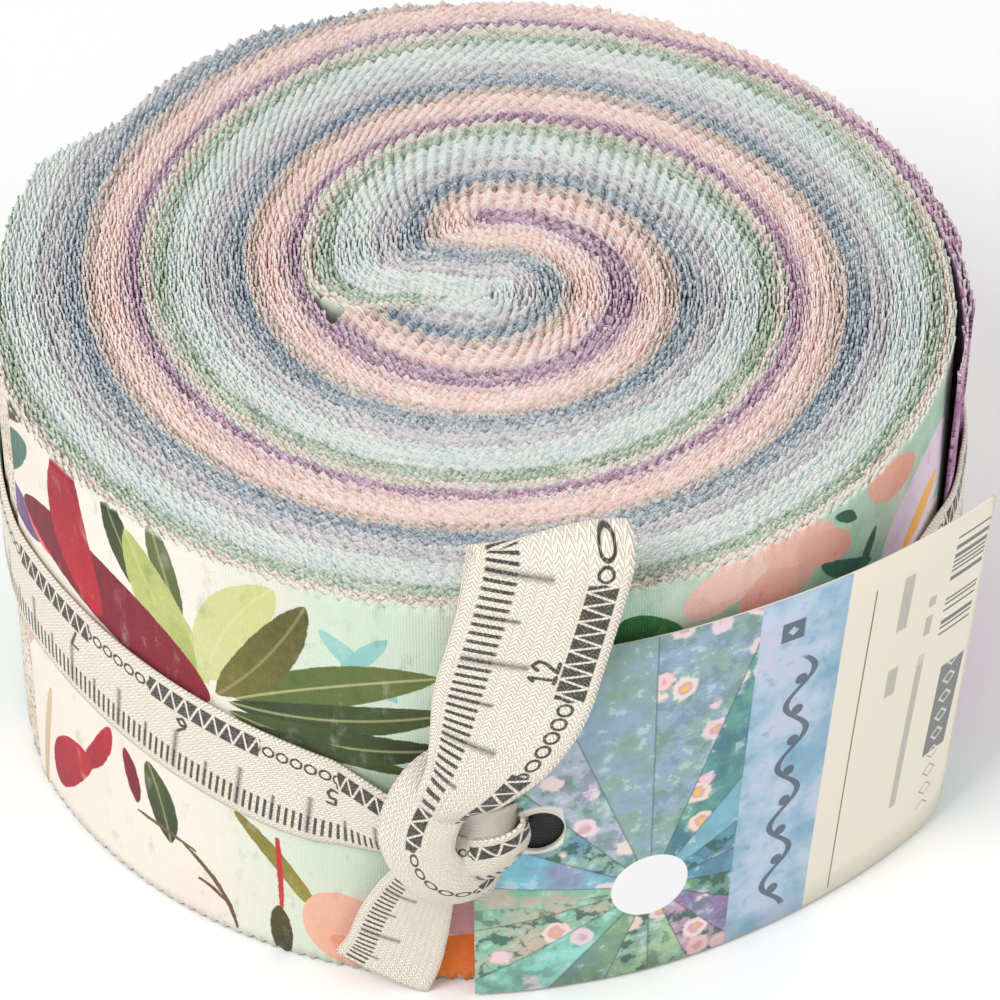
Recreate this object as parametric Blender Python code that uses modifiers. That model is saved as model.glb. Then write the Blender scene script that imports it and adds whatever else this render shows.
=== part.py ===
"""Roll of pre-cut quilting strips, tied with a twill tape that carries a card label.

Forty fabric strips, each folded once across its length, lie in one stack. The stack is creased
near its raw ends, bent back on itself and wound up into a spiral. Angles are in degrees about
the roll's axis, anticlockwise seen from above, and the winding runs clockwise. The frame's
origin is on the roll's axis at the surface it stands on, with +Z up and the knot towards -Y.
"""
import math

import bmesh
import bpy
from mathutils import Vector

MM = 0.001

# Strips
STRIP_COUNT = 40
STRIP_WIDTH = 63.5 * MM
STRIP_LENGTH = 1118 * MM
FOLDED_THICKNESS = 0.40 * MM

# Winding
STACK_THICKNESS = 21.0 * MM
CORE_RADIUS = 14.3 * MM
CORE_DIP = 8.8 * MM
START_ANGLE = 82.0
RUNGS_PER_TURN = 15
WINDING_RUNGS = 36
INNER_LEG_RUNGS = 10
CORE_EYE = Vector((1.5, -1.2)) * MM
PARTING_LINE = [Vector(point) * MM for point in ((-5.0, -3.3), (-10.5, -3.9), (-16.0, -3.7))]
CREASE_CLEARANCE = 0.3 * MM
LEG_CLEARANCE = 0.3 * MM
FACE_CLEARANCE = 0.06 * MM
NEAR_RUNG = 0.1

# Where the folded ends lie, as pairs of a strip's place in the stack and an angle.
# Place 0 is the strip on the inner face, place 1 is the strip on the outer face.
FOLDED_ENDS = ((0.0, -738.0), (0.10, -690.0), (0.28, -632.0), (0.42, -608.0), (0.53, -602.0),
               (0.56, -577.0), (0.84, -565.0), (0.86, -545.0), (1.0, -520.0))

# Tape
TAPE_WIDTH = 15.5 * MM
TAPE_THICKNESS = 0.8 * MM
TAPE_CLEARANCE = 0.3 * MM
TAPE_HEIGHT = 36.0 * MM
KNOT_ANGLE = -96.5
KNOT_HEIGHT = 28.5 * MM
KNOT_SIZE = Vector((10.4, 6.6, 17.0)) * MM
LOOP_RISE = 8.5 * MM
LOOP_WIDTH = 19.0 * MM
LOOP_DEPTH = 1.7 * MM
TAIL_WIDTH = 12.5 * MM
TAIL_LIFT = 0.8 * MM

# Card label
CARD_HEIGHT = 56.0 * MM
CARD_THICKNESS = 0.45 * MM
CARD_LIFT = 0.5 * MM
CARD_LEFT_ANGLE = -91.6
CARD_HINGE_ANGLE = -74.0
CARD_FREE_ANGLE = -29.0
CARD_SPRING = 4.6 * MM
CARD_LEAN = 4.5 * MM
HINGE_GAP = 0.15 * MM
HOLE_DIAMETER = 6.4 * MM
HOLE_ANGLE = -84.3
HOLE_HEIGHT = KNOT_HEIGHT - 0.5 * MM

STRIP_COLOURS = (
    (0.36, 0.14, 0.28), (0.52, 0.27, 0.40), (0.85, 0.56, 0.52), (0.88, 0.64, 0.53),
    (0.62, 0.52, 0.46), (0.24, 0.34, 0.44), (0.42, 0.48, 0.55), (0.62, 0.66, 0.68),
    (0.66, 0.75, 0.72), (0.38, 0.53, 0.40), (0.80, 0.78, 0.66),
)
FLORAL_COLOUR = (0.72, 0.76, 0.66)
TAPE_COLOUR = (0.86, 0.80, 0.68)
CARD_COLOUR = (0.86, 0.83, 0.74)


def clear_scene():
    """Remove every object of the open file."""
    for thing in list(bpy.data.objects):
        bpy.data.objects.remove(thing, do_unlink=True)


def new_collection(name):
    """Make a collection and link it to the scene."""
    collection = bpy.data.collections.new(name)
    bpy.context.scene.collection.children.link(collection)
    return collection


def make_material(name, colour, roughness):
    """Make a Principled material of one colour."""
    material = bpy.data.materials.new(name)
    material.use_nodes = True
    shader = material.node_tree.nodes["Principled BSDF"]
    shader.inputs["Base Color"].default_value = (*colour, 1.0)
    shader.inputs["Roughness"].default_value = roughness
    shader.inputs["Metallic"].default_value = 0.0
    material.diffuse_color = (*colour, 1.0)
    return material


def polar(angle, radius):
    """Give the plan point at an angle in degrees and a radius."""
    turn = math.radians(angle)
    return Vector((radius * math.cos(turn), radius * math.sin(turn)))


def at_height(point, height):
    """Lift a plan point to a height."""
    return Vector((point.x, point.y, height))


def interpolate(pairs, value):
    """Read a table of rising pairs at a value, with straight runs between them."""
    for (low, first), (high, second) in zip(pairs, pairs[1:]):
        if value <= high:
            share = (value - low) / (high - low)
            return first + (second - first) * max(share, 0.0)
    return pairs[-1][1]


def inner_face(rung):
    """Give the plan point of the stack's inner face at a rung of the winding.

    The radius grows by one stack thickness a turn, less a dip that repeats every turn and
    follows the flattened side of the creased core.
    """
    turns = rung / RUNGS_PER_TURN
    part = turns % 1.0
    dip = abs(math.sin(math.pi * part ** 1.7)) ** 1.6
    radius = CORE_RADIUS + STACK_THICKNESS * turns - CORE_DIP * dip
    return polar(START_ANGLE - 360.0 * turns, radius)


def rung_line(start, end, spread, end_clearance):
    """Describe one rung across the stack: start, unit direction, stack spread and room."""
    reach = end - start
    room = reach.length - end_clearance
    return {"start": start, "along": reach.normalized(), "spread": spread or room, "room": room}


def stack_rungs():
    """List the rungs across the stack from the raw ends to the folded ends.

    The inner leg runs from the raw ends round the eye to the crease, the crease's rungs fan
    out from its tip, and the outer leg winds up. Strips keep their order on every rung, so
    strips drawn between shared rungs never cross.
    """
    rungs = []
    lower = [point - Vector((0, LEG_CLEARANCE)) for point in PARTING_LINE]
    upper = [point + Vector((0, LEG_CLEARANCE)) for point in PARTING_LINE]
    for step in range(INNER_LEG_RUNGS, -1, -1):
        past_eye = step - (INNER_LEG_RUNGS - len(lower))
        end = lower[past_eye - 1] if past_eye > 0 else CORE_EYE
        start = inner_face(step)
        start = start + (end - start).normalized() * FACE_CLEARANCE
        rungs.append(rung_line(start, end, STACK_THICKNESS, LEG_CLEARANCE))
    tip = inner_face(0)
    winding_faces = [inner_face(step) for step in range(INNER_LEG_RUNGS + 1, RUNGS_PER_TURN)]
    for end in upper + winding_faces:
        start = tip + (end - tip).normalized() * CREASE_CLEARANCE
        whole = (end - tip).length - LEG_CLEARANCE >= STACK_THICKNESS or end in winding_faces
        spread = None if whole else STACK_THICKNESS
        rungs.append(rung_line(start, end, spread, FACE_CLEARANCE))
    for step in range(WINDING_RUNGS):
        start = inner_face(step)
        end = inner_face(step + RUNGS_PER_TURN)
        start = start + (end - start).normalized() * FACE_CLEARANCE
        rungs.append(rung_line(start, end, None, 0.0))
    return rungs


RUNGS = stack_rungs()
OUTER_LEG = len(RUNGS) - WINDING_RUNGS


def on_rung(place, offset, stretch):
    """Give the plan point at a place along the stack, at an offset into it.

    A place is a rung's number with a fraction. Offset is the share of the stack's spread,
    and stretch is a distance added to it.
    """
    first = min(int(place), len(RUNGS) - 2)
    points = []
    for rung in RUNGS[first:first + 2]:
        points.append(rung["start"] + rung["along"] * (rung["spread"] * offset + stretch))
    return points[0].lerp(points[1], place - first)


def has_room(place, offset):
    """Tell whether a strip fits before the parting line or the eye at a place."""
    first = min(int(place), len(RUNGS) - 2)
    share = place - first
    low, high = RUNGS[first], RUNGS[first + 1]
    room = low["room"] + (high["room"] - low["room"]) * share
    spread = low["spread"] + (high["spread"] - low["spread"]) * share
    return spread * offset + FOLDED_THICKNESS <= room


def snap_to_rung(place):
    """Move a place that lies close to a rung onto it."""
    nearest = round(place)
    return nearest if abs(place - nearest) < NEAR_RUNG else place


def strip_ends(number):
    """Give the places of a strip's raw ends and of its folded end."""
    offset = number / STRIP_COUNT
    rank = number / (STRIP_COUNT - 1)
    fold = OUTER_LEG + (START_ANGLE - interpolate(FOLDED_ENDS, rank)) * RUNGS_PER_TURN / 360.0
    fold = snap_to_rung(min(fold, len(RUNGS) - 1))
    finest = 0.05
    place = fold
    length = 0.0
    here = on_rung(place, offset, 0.0)
    while place > finest and length < STRIP_LENGTH / 2:
        place -= finest
        if place < OUTER_LEG and not has_room(place, offset):
            place += finest
            break
        there = on_rung(place, offset, 0.0)
        length += (there - here).length
        here = there
    return snap_to_rung(place), fold


def strip_places(number):
    """List the places where a strip's outline has a corner."""
    start, fold = strip_ends(number)
    return [start, *[place for place in range(len(RUNGS)) if start < place < fold], fold]


def link_mesh(name, bm, material, collection):
    """Turn a bmesh into a linked object with one material."""
    mesh = bpy.data.meshes.new(name)
    bm.to_mesh(mesh)
    bm.free()
    mesh.materials.append(material)
    thing = bpy.data.objects.new(name, mesh)
    collection.objects.link(thing)
    return thing


def ladder_mesh(left_side, right_side):
    """Make an open sheet between two lines of equally many points."""
    bm = bmesh.new()
    left = [bm.verts.new(point) for point in left_side]
    right = [bm.verts.new(point) for point in right_side]
    for step in range(len(left) - 1):
        bm.faces.new((left[step], right[step], right[step + 1], left[step + 1]))
    return bm


def thicken(thing, thickness, offset, even=True):
    """Give an open sheet its thickness."""
    shell = thing.modifiers.new("thickness", "SOLIDIFY")
    shell.thickness = thickness
    shell.offset = offset
    shell.use_even_offset = even
    return shell


def strip_material(number):
    """Give a strip its print's main colour."""
    if number == STRIP_COUNT - 1:
        return make_material("floral_print", FLORAL_COLOUR, 0.9)
    place = number / (STRIP_COUNT - 1) * (len(STRIP_COLOURS) - 1)
    first = min(int(place), len(STRIP_COLOURS) - 2)
    pairs = zip(STRIP_COLOURS[first], STRIP_COLOURS[first + 1])
    colour = tuple(low + (high - low) * (place - first) for low, high in pairs)
    return make_material(f"strip_print_{number + 1:02d}", colour, 0.9)


def build_strip(number, collection):
    """Build one folded strip: its plan outline raised to the strip's width."""
    offset = number / STRIP_COUNT
    places = strip_places(number)
    inside = [at_height(on_rung(place, offset, 0.0), 0.0) for place in places]
    outside = [at_height(on_rung(place, offset, FOLDED_THICKNESS), 0.0) for place in places]
    name = f"strip_{number + 1:02d}"
    thing = link_mesh(name, ladder_mesh(outside, inside), strip_material(number), collection)
    normal = thing.data.polygons[0].normal.z
    thicken(thing, STRIP_WIDTH, 1.0 if normal > 0 else -1.0, even=False)
    return thing


def convex_outline(points):
    """Give the convex outline of plan points, anticlockwise."""
    ordered = sorted((point.x, point.y) for point in points)

    def half(sequence):
        chain = []
        for x, y in sequence:
            while len(chain) > 1:
                (ax, ay), (bx, by) = chain[-2:]
                if (bx - ax) * (y - ay) - (by - ay) * (x - ax) > 0:
                    break
                chain.pop()
            chain.append((x, y))
        return chain[:-1]

    return [Vector(point) for point in half(ordered) + half(reversed(ordered))]


def roll_outline():
    """Give the convex outline of all strips in plan, which a tight tape follows."""
    points = []
    for number in range(STRIP_COUNT):
        offset = number / STRIP_COUNT
        for place in strip_places(number):
            points.append(on_rung(place, offset, FOLDED_THICKNESS))
    return convex_outline(points)


def outline_radius(outline, angle, gap):
    """Give the radius at an angle of an outline moved outwards by a gap."""
    ray = polar(angle, 1.0)
    best = math.inf
    for start, end in zip(outline, outline[1:] + outline[:1]):
        edge = (end - start).normalized()
        normal = Vector((edge.y, -edge.x))
        facing = normal.dot(ray)
        if facing > 0.01:
            best = min(best, (normal.dot(start) + gap) / facing)
    return best


def moved_corners(outline, gap):
    """Move a convex outline outwards by a gap and give its corners with their angles."""
    corners = []
    count = len(outline)
    for place in range(count):
        before = outline[place] - outline[place - 1]
        after = outline[(place + 1) % count] - outline[place]
        normals = [Vector((edge.y, -edge.x)).normalized() for edge in (before, after)]
        reach = (normals[0] + normals[1]) * (gap / (1.0 + normals[0].dot(normals[1])))
        corner = outline[place] + reach
        corners.append((math.degrees(math.atan2(corner.y, corner.x)), corner))
    return corners


def dip_to_knot(angle):
    """Give the height of the tape's middle, which dips towards the knot."""
    away = (angle - KNOT_ANGLE + 180.0) % 360.0 - 180.0
    return TAPE_HEIGHT - (TAPE_HEIGHT - KNOT_HEIGHT) * math.exp(-(away / 38.0) ** 2)


def card_radius(angle):
    """Give the radius of the card's inner face: close at the knot, free at its far end."""
    share = max(0.0, (angle + 66.0) / (CARD_FREE_ANGLE + 66.0))
    left = max(0.0, (-80.0 - angle) / 12.0)
    return TAPE_OUTSIDE + CARD_SPRING * share ** 2.0 + 0.7 * MM * left


def knot_radius():
    """Give the radius of the knot's middle."""
    return TAPE_OUTSIDE + KNOT_SIZE.y / 2


OUTLINE = roll_outline()
TAPE_OUTSIDE = (max(outline_radius(OUTLINE, angle, TAPE_CLEARANCE) for angle in range(-92, -40))
                + TAPE_THICKNESS + TAPE_CLEARANCE)


def build_sheet(name, sections, thickness, offset, material, collection):
    """Build a sheet from pairs of edge points along its length."""
    low_edge = [section[0] for section in sections]
    high_edge = [section[1] for section in sections]
    thing = link_mesh(name, ladder_mesh(low_edge, high_edge), material, collection)
    thicken(thing, thickness, offset)
    return thing


def upright_section(angle, radius, middle, width):
    """Give a tape's lower and upper edge points where it stands upright."""
    point = polar(angle, radius)
    return at_height(point, middle - width / 2), at_height(point, middle + width / 2)


def build_band(material, collection):
    """Build the tape round the roll, from the knot's left side to its right side.

    The right end runs behind the card, comes forward through the card's hole and reaches
    the knot, bunched to fit the hole.
    """
    half_knot = math.degrees((KNOT_SIZE.x / 2 + TAPE_CLEARANCE) / knot_radius())
    middle = TAPE_THICKNESS / 2
    bunched = HOLE_DIAMETER * 0.55
    front = knot_radius()
    sections = [upright_section(KNOT_ANGLE - half_knot, front, KNOT_HEIGHT, TAPE_WIDTH * 0.55)]
    sections.append(upright_section(KNOT_ANGLE - half_knot - 3.0, front - 1.2 * MM,
                                    dip_to_knot(KNOT_ANGLE - 8.0), TAPE_WIDTH * 0.72))
    first, last = KNOT_ANGLE - 10.0, HOLE_ANGLE + 20.0 - 360.0
    turned = [((angle - first) % -360.0 + first, corner)
              for angle, corner in moved_corners(OUTLINE, TAPE_CLEARANCE + middle)]
    for angle, corner in sorted(turned, key=lambda pair: -pair[0]):
        if angle > last:
            sections.append(upright_section(angle, corner.length, dip_to_knot(angle), TAPE_WIDTH))
    for ahead, share in ((14.0, 0.75), (7.0, 0.4)):
        angle = HOLE_ANGLE + ahead
        radius = outline_radius(OUTLINE, angle, TAPE_CLEARANCE) + middle
        width = bunched + (TAPE_WIDTH - bunched) * share
        sections.append(upright_section(angle, radius, HOLE_HEIGHT, width))
    card = card_radius(HOLE_ANGLE) + CARD_THICKNESS / 2
    sections.append(upright_section(HOLE_ANGLE + 1.1, card - 1.4 * MM, HOLE_HEIGHT, bunched))
    sections.append(upright_section(HOLE_ANGLE - 1.1, card + 1.4 * MM, HOLE_HEIGHT, bunched))
    sections.append(upright_section(KNOT_ANGLE + half_knot, front, KNOT_HEIGHT, bunched * 1.3))
    return build_sheet("ribbon_band", sections, TAPE_THICKNESS, 0.0, material, collection)


def build_knot(material, collection):
    """Build the knot as a soft lump in front of the roll."""
    bm = bmesh.new()
    bmesh.ops.create_uvsphere(bm, u_segments=16, v_segments=10, radius=0.5)
    bmesh.ops.scale(bm, vec=KNOT_SIZE, verts=bm.verts)
    thing = link_mesh("ribbon_knot", bm, material, collection)
    place = polar(KNOT_ANGLE, knot_radius())
    thing.location = at_height(place, KNOT_HEIGHT)
    thing.rotation_euler = (0.0, 0.0, math.radians(KNOT_ANGLE + 90.0))
    for face in thing.data.polygons:
        face.use_smooth = True
    return thing


def tilted_section(centre_angle, radius, height, width):
    """Give a tape's edge points where it runs up or down the roll's side, flat across."""
    middle = polar(centre_angle, radius)
    half = polar(centre_angle + 90.0, width / 2)
    return at_height(middle - half, height), at_height(middle + half, height)


def build_loop(material, collection):
    """Build the bow's upper loop: up behind, over its fold above the rim, and down in front."""
    base = KNOT_HEIGHT + KNOT_SIZE.z / 2 + TAPE_CLEARANCE + TAPE_THICKNESS / 2
    rim = STRIP_WIDTH
    behind = card_radius(CARD_LEFT_ANGLE) + CARD_THICKNESS + TAPE_CLEARANCE + TAPE_THICKNESS / 2
    card_top = CARD_LIFT + CARD_HEIGHT
    over = TAPE_OUTSIDE - TAPE_THICKNESS / 2
    top = rim + LOOP_RISE
    back = [
        (KNOT_ANGLE, behind, base, LOOP_WIDTH * 0.42),
        (-91.0, behind, base + 6.5 * MM, LOOP_WIDTH * 0.80),
        (-86.8, behind, card_top - 1.0 * MM, LOOP_WIDTH),
        (-85.6, behind - 0.6 * MM, card_top + 2.0 * MM, LOOP_WIDTH),
        (-84.6, over, rim + 1.6 * MM, LOOP_WIDTH),
        (-83.6, over - 1.4 * MM, top - 2.0 * MM, LOOP_WIDTH),
    ]
    front = [(angle, radius + LOOP_DEPTH, height, width) for angle, radius, height, width in back]
    front[-1] = (-83.6, over + 0.2 * MM, top - 2.0 * MM, LOOP_WIDTH)
    fold = [(-83.4, over - 0.6 * MM, top, LOOP_WIDTH)]
    sections = [tilted_section(*place) for place in back + fold + front[::-1]]
    return build_sheet("ribbon_loop", sections, TAPE_THICKNESS, 0.0, material, collection)


def build_tail(material, collection):
    """Build the tape's cut end, which hangs from the knot to just above the surface."""
    top = KNOT_HEIGHT - KNOT_SIZE.z / 2 - TAPE_CLEARANCE - TAPE_THICKNESS / 2
    near = TAPE_OUTSIDE - TAPE_THICKNESS / 2
    places = [
        (KNOT_ANGLE - 0.3, knot_radius(), top, TAIL_WIDTH * 0.5),
        (KNOT_ANGLE - 1.4, knot_radius() - 1.9 * MM, top - 4.0 * MM, TAIL_WIDTH * 0.8),
        (KNOT_ANGLE - 3.6, near, top - 9.0 * MM, TAIL_WIDTH),
        (KNOT_ANGLE - 7.0, near, TAIL_LIFT, TAIL_WIDTH),
    ]
    sections = [tilted_section(*place) for place in places]
    return build_sheet("ribbon_tail", sections, TAPE_THICKNESS, 0.0, material, collection)


def card_section(angle):
    """Give the card's lower and upper edge points at an angle; its free end leans out."""
    radius = card_radius(angle)
    share = max(0.0, (angle - CARD_HINGE_ANGLE) / (CARD_FREE_ANGLE - CARD_HINGE_ANGLE))
    low = at_height(polar(angle, radius), CARD_LIFT)
    high = at_height(polar(angle, radius + CARD_LEAN * share ** 1.5), CARD_LIFT + CARD_HEIGHT)
    return low, high


def angle_steps(first, last, count):
    """List equally spaced angles from first to last."""
    return [first + (last - first) * step / count for step in range(count + 1)]


def build_card(material, collection, cutters):
    """Build the card in two pieces that meet at its bending line."""
    gap = math.degrees(HINGE_GAP / card_radius(CARD_HINGE_ANGLE))
    tab_angles = angle_steps(CARD_LEFT_ANGLE, CARD_HINGE_ANGLE - gap, 6)
    tab = build_sheet("label_tab", [card_section(angle) for angle in tab_angles],
                      CARD_THICKNESS, 1.0, material, collection)
    panel_angles = angle_steps(CARD_HINGE_ANGLE + gap, CARD_FREE_ANGLE, 14)
    panel = build_sheet("label_panel", [card_section(angle) for angle in panel_angles],
                        CARD_THICKNESS, 1.0, material, collection)
    bm = bmesh.new()
    bmesh.ops.create_cone(bm, cap_ends=True, segments=24, radius1=HOLE_DIAMETER / 2,
                          radius2=HOLE_DIAMETER / 2, depth=10 * MM)
    cutter = link_mesh("label_hole_cutter", bm, material, cutters)
    place = polar(HOLE_ANGLE, card_radius(HOLE_ANGLE))
    cutter.location = at_height(place, HOLE_HEIGHT)
    cutter.rotation_euler = (math.radians(90.0), 0.0, math.radians(HOLE_ANGLE + 90.0))
    cutter.hide_render = True
    cutter.display_type = "WIRE"
    punch = tab.modifiers.new("punched_hole", "BOOLEAN")
    punch.operation = "DIFFERENCE"
    punch.solver = "EXACT"
    punch.object = cutter
    return tab, panel


def main():
    """Build the whole roll."""
    clear_scene()
    parts = new_collection("quilting_strip_roll")
    cutters = new_collection("cutters")
    for number in range(STRIP_COUNT):
        build_strip(number, parts)
    tape = make_material("twill_tape", TAPE_COLOUR, 0.95)
    card = make_material("printed_card", CARD_COLOUR, 0.6)
    build_band(tape, parts)
    build_knot(tape, parts)
    build_loop(tape, parts)
    build_tail(tape, parts)
    build_card(card, parts, cutters)


main()
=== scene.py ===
"""Looks of a roll of pinked quilting strips, tied with a printed twill tape and a card label.

Lengths are in metres unless a name says otherwise, and pattern coordinates are in millimetres.
"""

import logging
import math
from dataclasses import dataclass, field
from enum import Enum
from typing import Optional, Sequence, Union

import bmesh
import bpy
import numpy as np
from mathutils import Matrix, Vector
from mathutils.geometry import convex_hull_2d


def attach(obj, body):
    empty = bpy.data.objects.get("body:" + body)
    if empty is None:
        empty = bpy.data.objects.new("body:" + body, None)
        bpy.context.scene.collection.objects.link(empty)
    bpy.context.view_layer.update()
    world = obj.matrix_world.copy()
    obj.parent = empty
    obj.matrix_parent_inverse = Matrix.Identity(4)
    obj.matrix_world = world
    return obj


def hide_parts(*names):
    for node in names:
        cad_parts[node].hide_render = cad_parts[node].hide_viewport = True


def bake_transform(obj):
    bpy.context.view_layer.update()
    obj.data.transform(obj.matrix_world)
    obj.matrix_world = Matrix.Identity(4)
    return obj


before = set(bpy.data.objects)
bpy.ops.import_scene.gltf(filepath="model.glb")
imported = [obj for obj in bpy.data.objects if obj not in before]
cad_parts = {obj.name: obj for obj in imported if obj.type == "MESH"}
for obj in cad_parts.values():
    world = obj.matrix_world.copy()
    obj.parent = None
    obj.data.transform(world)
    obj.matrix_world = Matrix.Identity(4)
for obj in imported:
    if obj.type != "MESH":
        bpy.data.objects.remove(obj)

LOG = logging.getLogger("strip_roll")
MM = 0.001
TABLE_TOP = 0.0

Operand = Union["Value", float]
Colour = tuple[float, float, float]


class Slot(Enum):
    """The record's material slots."""

    PLUM = "print_plum"
    PINK = "print_pink"
    PEACH = "print_peach"
    TAN = "print_tan"
    SLATE = "print_slate"
    GREY = "print_grey"
    AQUA = "print_aqua"
    GREEN = "print_green"
    CREAM = "print_cream"
    FLORAL = "print_floral"
    TAPE = "twill_tape"
    CARD = "printed_card"


class Body(Enum):
    """The bodies that pieces ride on."""

    ROLL = "roll"
    TIE = "tie"
    LABEL = "label"


def rgb(code: str) -> Colour:
    """Turn a six-figure display colour into linear light.

    Args:
        code: Six figures, two each for red, green and blue.

    Returns:
        The linear colour.
    """
    parts = np.array([int(code[place:place + 2], 16) for place in (0, 2, 4)]) / 255.0
    light = np.where(parts <= 0.04045, parts / 12.92, ((parts + 0.055) / 1.055) ** 2.4)
    return tuple(float(part) for part in light)


# Shader expressions


class Value:
    """A node socket that takes part in shader expressions."""

    def __init__(self, shader: "Shader", socket: bpy.types.NodeSocket) -> None:
        """Keep the socket and the shader it belongs to."""
        self.shader = shader
        self.socket = socket

    def math(self, operation: str, *others: Operand) -> "Value":
        """Add one Math node that starts from this value.

        Args:
            operation: The Math node's operation.
            others: What goes into its other sockets.

        Returns:
            The node's result.
        """
        return self.shader.node("ShaderNodeMath", {"operation": operation}, [self, *others])

    def __add__(self, other: Operand) -> "Value":
        """Add."""
        return self.math("ADD", other)

    def __sub__(self, other: Operand) -> "Value":
        """Subtract."""
        return self.math("SUBTRACT", other)

    def __rsub__(self, other: Operand) -> "Value":
        """Subtract from a number."""
        return self.math("MULTIPLY_ADD", -1.0, other)

    def __mul__(self, other: Operand) -> "Value":
        """Multiply."""
        return self.math("MULTIPLY", other)

    def __truediv__(self, other: Operand) -> "Value":
        """Divide."""
        return self.math("DIVIDE", other)

    def __pow__(self, other: Operand) -> "Value":
        """Raise to a power."""
        return self.math("POWER", other)

    __radd__ = __add__
    __rmul__ = __mul__

    def abs(self) -> "Value":
        """Drop the sign."""
        return self.math("ABSOLUTE")

    def floor(self) -> "Value":
        """Round down."""
        return self.math("FLOOR")

    def fract(self) -> "Value":
        """Keep what follows the point."""
        return self.math("FRACT")

    def low(self, other: Operand) -> "Value":
        """Take the lower of two."""
        return self.math("MINIMUM", other)

    def high(self, other: Operand) -> "Value":
        """Take the higher of two."""
        return self.math("MAXIMUM", other)

    def ramp(self, start: float, end: float, low: float = 0.0, high: float = 1.0) -> "Value":
        """Run smoothly from low at start to high at end, flat on both sides.

        Args:
            start: Where the run starts.
            end: Where it ends; it may be below start.
            low: The result at start.
            high: The result at end.

        Returns:
            The smooth run.
        """
        return self.shader.node("ShaderNodeMapRange", {"interpolation_type": "SMOOTHSTEP"},
                                {"Value": self, "From Min": start, "From Max": end,
                                 "To Min": low, "To Max": high})

    def between(self, low: float, high: float, soft: float) -> "Value":
        """Give 1 between two limits and 0 outside them, with soft edges inside the limits."""
        return self.ramp(low, low + soft) * self.ramp(high, high - soft)

    def line(self, period: float, share: float) -> "Value":
        """Mark repeated lines: 1 on a share of each period, with soft edges.

        Args:
            period: Distance between lines.
            share: Share of the period that a line takes.

        Returns:
            A mask from 0 to 1.
        """
        away = ((self / period).fract() - 0.5).abs()
        return away.ramp(share / 2 + 0.06, share / 2 - 0.06)


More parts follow.
